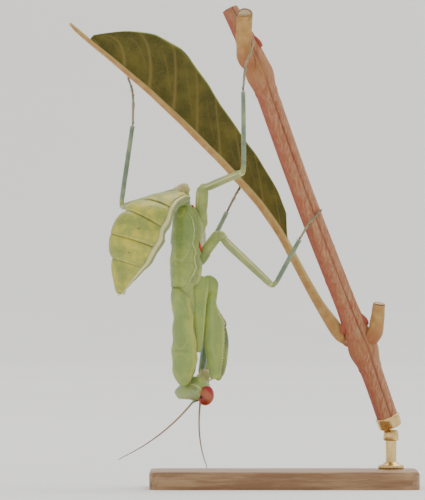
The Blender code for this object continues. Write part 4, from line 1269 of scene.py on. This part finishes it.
def make_twig():
    """The bark with its groove, knots and buds, and the cut ends."""
    paint = Paint("bark_look")
    streak = paint.ramp(paint.noise(2.2, 6, (1.6, 1.6, 0.3)), 0.35, 0.68)
    paint.ground(streak, (0.37, 0.13, 0.065), (0.50, 0.27, 0.14))
    paint.coat(paint.ramp(paint.noise(0.5), 0.45, 0.7), (0.42, 0.27, 0.14), 0.4)
    paint.coat(paint.ramp(paint.cells(1.7, stretch=(1, 1, 0.7)), 0.2, 0.08), (0.62, 0.40, 0.25), 0.4)
    paint.coat(paint.value("red"), (0.38, 0.075, 0.045), 0.85)
    paint.coat(paint.value("groove"), (0.20, 0.035, 0.02))
    paint.coat(paint.value("node"), (0.42, 0.20, 0.08))
    paint.raised(paint.noise(2.0, 6, (3, 3, 0.5)), 0.12, 0.7)
    paint.raised(paint.cells(5.0), 0.05)
    bark = paint.done((0.6, 0.8), Specular_IOR_Level=0.3)
    name = "perch_twig"
    points, _ = solid(name)
    low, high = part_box("perch_twig")
    line = cut_line(name, cap_centre(points, high.z / MM), cap_centre(points, low.z / MM), 60)
    track = Track((name,), line, (1, 0, 0), (0, -1, 0), count=90, soft=3, reach=3.2)
    feet = [far_point(f"perch_stub_{which}", FORWARD) for which in ("upper", "lower")]
    nodes = [nearest_share(track, foot) for foot in feet]
    groove_at = TOP - 0.28
    lumps = [(rng.random(), rng.uniform(-pi, pi), rng.uniform(0.012, 0.03)) for _ in range(46)]

    def lift(t, a):
        away = turn_between(a, groove_at)
        total = -0.10 * bump(away, 0, 0.10) + 0.04 * bump(abs(away), 0.24, 0.1)
        total += 0.03 * sin(5 * a + 9 * t) + 0.02 * sin(11 * a - 14 * t)
        for node in nodes:
            total += 0.30 * bump(t, node + 0.012, 0.022) + 0.09 * bump(t, node + 0.05, 0.004)
        for place, angle, size in lumps:
            if abs(t - place) < 0.02:
                total += 2.2 * size * bump(t, place, 0.006) * bump_round(a, angle, 0.12)
        return total

    values = {
        "groove": lambda t, a: 0.9 * bump_round(a, groove_at, 0.07),
        "red": lambda t, a: min(1, max(0, -cos(a)) ** 1.5),
        "node": lambda t, a: max(0.7 * bump(t, nodes[0], 0.03), 0.35 * bump(t, nodes[1], 0.025)),
    }
    keep(skin("twig_bark", track, bark, 220, 72, lift, values, dome=False), "bark", name)
    paint = Paint("cut_wood_look")
    rings = paint.node("TexWave", {"Scale": 1.4, "Distortion": 1.5, "Vector": paint.place}, wave_type="RINGS")
    paint.ground(rings.outputs["Fac"], (0.62, 0.48, 0.28), (0.45, 0.31, 0.16))
    paint.coat(paint.value("rim"), (0.16, 0.07, 0.04))
    paint.raised(paint.noise(6, 4), 0.04)
    cut_wood = paint.done((0.6, 0.75))
    for number, node in enumerate(nodes, 1):
        for side, sign in SIDES:
            radii = (0.30, 0.42, 0.38, 0.24, 0.05)
            path = [
                track.point(node - 0.045 - 0.007 * k, TOP + sign * (1.3 - 0.03 * k), 0.05) for k in range(5)
            ]
            bud = hose(f"twig_bud_{number}_{side}", path, radii, bark, 14, {"red": [1.0] * 5})
            keep(bud, "bark", name)
    cut_end("twig_cut_upper", track, 0.0, 0.97, cut_wood)
    cut_end("twig_cut_lower", track, 1.0, 0.97, cut_wood)
    return track, cut_wood


def cut_end(name, track, t, share, material):
    """A cleanly cut end of a branch: a slightly domed disc."""
    out = track.ahead(t) * (1 if t > 0 else -1)
    shares = (0.02, 0.2, 0.4, 0.6, 0.8, 0.93, 1.0)
    profile = [(0.06 * (1 - x**2) + 0.02, x) for x in shares] + [(-0.23, 1.0)]
    rims = [max(0.0, (x - 0.86) / 0.14) for _, x in profile]
    lathe(name, track.centre(t), out, track.wide(t) * share, profile, material, "bark", 40, {"rim": rims})


def stalk_look():
    paint = Paint("leaf_stalk_look")
    paint.ground(paint.ramp(paint.noise(0.9, 5), 0.35, 0.7), (0.44, 0.22, 0.06), (0.54, 0.32, 0.10))
    paint.coat(paint.ramp(paint.cells(4.2), 0.16, 0.05), (0.62, 0.42, 0.18), 0.4)
    paint.coat(paint.value("pale"), (0.56, 0.47, 0.17))
    paint.coat(paint.value("red"), (0.34, 0.09, 0.035))
    paint.raised(paint.cells(5.5), 0.05)
    paint.raised(paint.noise(9, 5), 0.03)
    return paint.done((0.55, 0.7))


def make_stubs(look, cut_wood, twig):
    for which in ("upper", "lower"):
        name = f"perch_stub_{which}"
        points, _ = solid(name)
        root = cap_centre(points, points[:, 2].min(), 0.9)
        end = cap_centre(points, points[:, 2].max(), 0.5)
        line = cut_line(name, root, end, 24, 2)[10:]
        track = Track((name,), line, (1, 0, 0), (0, -1, 0), count=40, soft=3, reach=2.0)
        rooted(track, twig, np.linalg.norm(line[0] - root) + 1.0)
        lift = lambda t, a: 0.03 * sin(7 * a + 12 * t) + 0.03 * sin(40 * t) * bump(t, 0.1, 0.2)
        values = {"red": lambda t, a: 0.75 * bump(t, 0.1, 0.13)}
        keep(skin(f"stub_{which}_bark", track, look, 70, 44, lift, values, dome=False), "leaf_stalk", name)
        cut_end(f"stub_{which}_cut", track, 1.0, 0.96, cut_wood)


def make_leaf(look, twig):
    name = "perch_leaf_stalk"
    right = np.array((1.0, 0, 0))
    line = centreline(name, far_point(name, -right) - far_point(name, right), 70, 3)
    track = Track((name,), line, (0, 1, 0), (0.6, 0, 0.8), count=110, soft=3, reach=2.4)
    rooted(track, twig, 1.5)
    values = {
        "pale": lambda t, a: 0.75 * max(0, sin(a)) * min(1, 4 * t),
        "red": lambda t, a: 0.75 * bump(t, 0.05, 0.05),
    }
    lift = lambda t, a: 0.025 * sin(5 * a + 17 * t) + 0.02 * sin(60 * t + 3 * a)
    keep(skin("leaf_midrib", track, look, 200, 36, lift, values), "leaf_stalk", name)

    paint = Paint("leaf_underside_look")
    paint.ground(paint.ramp(paint.noise(0.35, 4), 0.35, 0.7), (0.075, 0.065, 0.008), (0.14, 0.115, 0.015))
    paint.coat(paint.ramp(paint.cells(1.7, "DISTANCE_TO_EDGE"), 0.05, 0.0), (0.17, 0.15, 0.04), 0.4)
    paint.coat(paint.ramp(paint.cells(3.5), 0.14, 0.05), (0.24, 0.20, 0.07), 0.35)
    paint.coat(paint.value("vein"), (0.22, 0.16, 0.04))
    paint.coat(paint.value("edge"), (0.34, 0.42, 0.10))
    paint.raised(paint.cells(1.7, "DISTANCE_TO_EDGE"), -0.08, 0.6)
    paint.raised(paint.noise(7, 5), 0.03)
    underside = paint.done((0.5, 0.65), Specular_IOR_Level=0.25)
    for half in ("near", "far"):
        make_blade(half, track, underside)


def make_blade(half, stalk, material):
    """One half of the blade: from the midrib to its wavy edge, with raised veins."""
    name = f"perch_leaf_{half}"
    points, faces = solid(name)
    roots, rims = [], []
    for k in range(160):
        t = 0.3 + 0.7 * k / 159
        at = stalk.centre(t)
        found = cut(points, faces, at, stalk.ahead(t), 14)
        if len(found) < 4:
            continue
        distance = np.linalg.norm(found - at, axis=1)
        rim = found[distance > distance.max() - 0.35].mean(axis=0)
        roots.append(at + unit(rim - at) * stalk.wide(t) * 0.7)
        rims.append(rim)
    roots, rims = softened(np.array(roots), 4), softened(np.array(rims), 6)
    facing = np.array((0, -1.0, 0)) if half == "near" else np.array((0.6, 0, 0.8))
    n, across = len(roots), 44

    def vein_at(x, s):
        """How much of a vein there is at share x along the blade and s out from the midrib."""
        bow, thickness = 0.11 * s + 0.05 * s * s, 0.004 + 0.003 * (1 - s)
        side_veins = [bump(x, 0.04 + 0.115 * m + bow, thickness) for m in range(9)]
        return max(0.45 * bump(s, 0.25 + 0.5 * ((x * 9) % 1), 0.018), *side_veins)

    rows, values = [], {"vein": [], "edge": []}
    for upper, order in ((True, range(n)), (False, range(n - 1, -1, -1))):
        for k in order:
            x = k / (n - 1)
            out = (rims[k] - roots[k]) * max(0.02, min(1, x / 0.09)) ** 0.7
            normal = unit(np.cross(unit(roots[min(k + 1, n - 1)] - roots[max(k - 1, 0)]), out))
            normal = normal * (1 if normal @ facing > 0 else -1)
            width = np.linalg.norm(out)
            row, vein_row, edge_row = [], [], []
            for j in range(across):
                s = j / (across - 1)
                vein = vein_at(x, s)
                sag = -0.35 * sin(pi * s) * width / 7 + 0.22 * sin(17 * x + 2) * s**2
                ripple = 0.12 * sin(41 * x) * s**3
                ruffle = 1 + 0.012 * sin(46 * x) * s
                skin_height = 0.10 * vein * (1 - 0.5 * s) if upper else -0.06
                row.append(roots[k] + out * s * ruffle + normal * (sag + ripple + skin_height))
                vein_row.append(min(1, vein * (1 - 0.35 * s)) if upper else 0.4 * vein)
                edge_row.append(max(0.0, (s - 0.965) / 0.035))
            rows.append(row)
            values["vein"].append(vein_row)
            values["edge"].append(edge_row)
    for table in (rows, *values.values()):
        table.append(table[0])
    obj = grid(f"leaf_blade_{half}", rows, material, values, closed=False, ends=False)
    shape = bmesh.new()
    shape.from_mesh(obj.data)
    bmesh.ops.remove_doubles(shape, verts=shape.verts, dist=0.000004)
    bmesh.ops.holes_fill(shape, edges=[e for e in shape.edges if e.is_boundary], sides=0)
    bmesh.ops.recalc_face_normals(shape, faces=shape.faces)
    shape.to_mesh(obj.data)
    shape.free()
    keep(obj, "leaf_blade", name)


def refinish(name, material):
    """Gives a CAD node another look."""
    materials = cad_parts[name].data.materials
    materials.clear()
    materials.append(material)


# --- the stand ---


def make_stand(twig):
    paint = Paint("oiled_oak_look")
    grain = paint.ramp(paint.noise(0.28, 8, (0.35, 4.0, 4.0), 0.6), 0.35, 0.65)
    pores = paint.noise(3.0, 4, (0.25, 6.0, 6.0))
    paint.ground(grain, (0.24, 0.12, 0.05), (0.42, 0.26, 0.13))
    paint.coat(paint.ramp(pores, 0.62, 0.75), (0.10, 0.045, 0.02), 0.6)
    paint.raised(pores, -0.05)
    refinish("stand_base", paint.done((0.38, 0.55)))

    paint = Paint("satin_brass_look")
    brushed = paint.ramp(paint.noise(1.5, 5, (1, 1, 0.2)), 0.3, 0.7)
    paint.ground(brushed, (0.62, 0.42, 0.16), (0.78, 0.57, 0.26))
    paint.raised(paint.noise(12, 3, (1, 1, 0.1)), 0.01)
    brass = paint.done((0.22, 0.34), Metallic=1.0)
    refinish("stand_rod", brass)
    low, high = (np.array(corner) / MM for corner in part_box("stand_rod"))
    x, y, _ = (low + high) / 2
    radius = (high[0] - low[0]) / 2
    foot = (
        (-0.08, 1.0), (-0.08, 2.3), (0.04, 2.45), (0.34, 2.45),
        (0.52, 2.2), (0.62, 1.5), (0.87, 1.3), (0.92, 1.05),
    )
    lathe("stand_foot_collar", np.array((x, y, low[2])), -FORWARD, radius, foot, brass, "brass")
    neck = ((-1.2, 1.02), (-1.2, 1.3), (-1.0, 1.5), (-0.3, 1.4), (0.3, 1.3), (0.35, 0.6))
    lathe("stand_neck", np.array((x, y, high[2])), -FORWARD, radius, neck, brass, "brass")
    wall = twig.row(1)[9:].max()
    cup = ((-0.35, 0.1), (-0.35, 0.9), (-0.15, 1.08), (0.9, 1.12), (1.25, 1.16), (1.35, 1.12), (1.3, 0.9))
    lathe("stand_twig_cup", twig.centre(1), -twig.ahead(1), wall, cup, brass, "brass")


# --- the studio ---


def make_studio():
    """A pale floor that curves up into a far round wall, soft light, and the camera level with the model."""
    profile = [(0.3, 0.0), (1.0, 0.0), (1.6, 0.0)]
    profile += [(1.6 + 0.9 * sin(a), 0.9 - 0.9 * cos(a)) for a in np.linspace(0.08, pi / 2, 16)]
    profile += [(2.5, 1.6), (2.5, 2.2)]
    rings = [[(r * cos(a), r * sin(a), z) for a in turns(96)] for r, z in profile]
    paint = Paint("studio_floor_look")
    paint.ground(paint.ramp(paint.noise(0.004), 0.3, 0.7), (0.86, 0.86, 0.85), (0.89, 0.89, 0.88))
    floor = grid("studio_floor", np.array(rings) / MM, paint.done((0.7, 0.8)), ends=False)
    cover = bmesh.new()
    cover.from_mesh(floor.data)
    cover.verts.ensure_lookup_table()
    cover.faces.new([cover.verts[k] for k in range(96)])
    cover.to_mesh(floor.data)
    cover.free()
    scene = bpy.context.scene
    scene.world = bpy.data.worlds.new("studio")
    scene.world.use_nodes = True
    backdrop = scene.world.node_tree.nodes["Background"].inputs
    backdrop["Color"].default_value = (1.0, 0.985, 0.96, 1)
    backdrop["Strength"].default_value = 0.7
    for name, place, power, spread, colour in (
        ("key", (-0.42, -0.85, 0.42), 2.3, 22, (1.0, 0.97, 0.91)),
        ("fill", (0.6, -0.8, 0.1), 0.8, 40, (0.97, 0.98, 1.0)),
        ("top", (0.15, 0.35, 0.95), 2.1, 50, (1.0, 1.0, 1.0)),
    ):
        light = bpy.data.lights.new(name, "SUN")
        light.angle, light.energy, light.color = radians(spread), power, colour
        lamp = bpy.data.objects.new(name, light)
        lamp.rotation_euler = (-Vector(place)).to_track_quat("-Z", "Y").to_euler()
        scene.collection.objects.link(lamp)
    lens = bpy.data.cameras.new("camera")
    distance, view_height = 1.2, 0.070
    aside, below = 0.0288, 0.0344  # the view's middle, from the base's right edge and from the model's top
    lens.lens = lens.sensor_width * distance / view_height
    camera = bpy.data.objects.new("camera", lens)
    camera.location = (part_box("stand_base")[1].x - aside, -distance, CAD_BOX[1].z - below)
    camera.rotation_euler = (pi / 2, 0, 0)
    scene.collection.objects.link(camera)
    scene.camera = camera


make_studio()
thorax_track = make_thorax()
make_prothorax()
make_neck()
make_abdomen()
make_head()
make_eyes()
for leg_name in ("mid_left", "mid_right", "hind_left", "hind_right"):
    make_walking_leg(leg_name)
for side_name in ("left", "right"):
    make_fore_leg(side_name)
twig_track, end_wood = make_twig()
stalk_material = stalk_look()
make_stubs(stalk_material, end_wood, twig_track)
make_leaf(stalk_material, twig_track)
make_stand(twig_track)
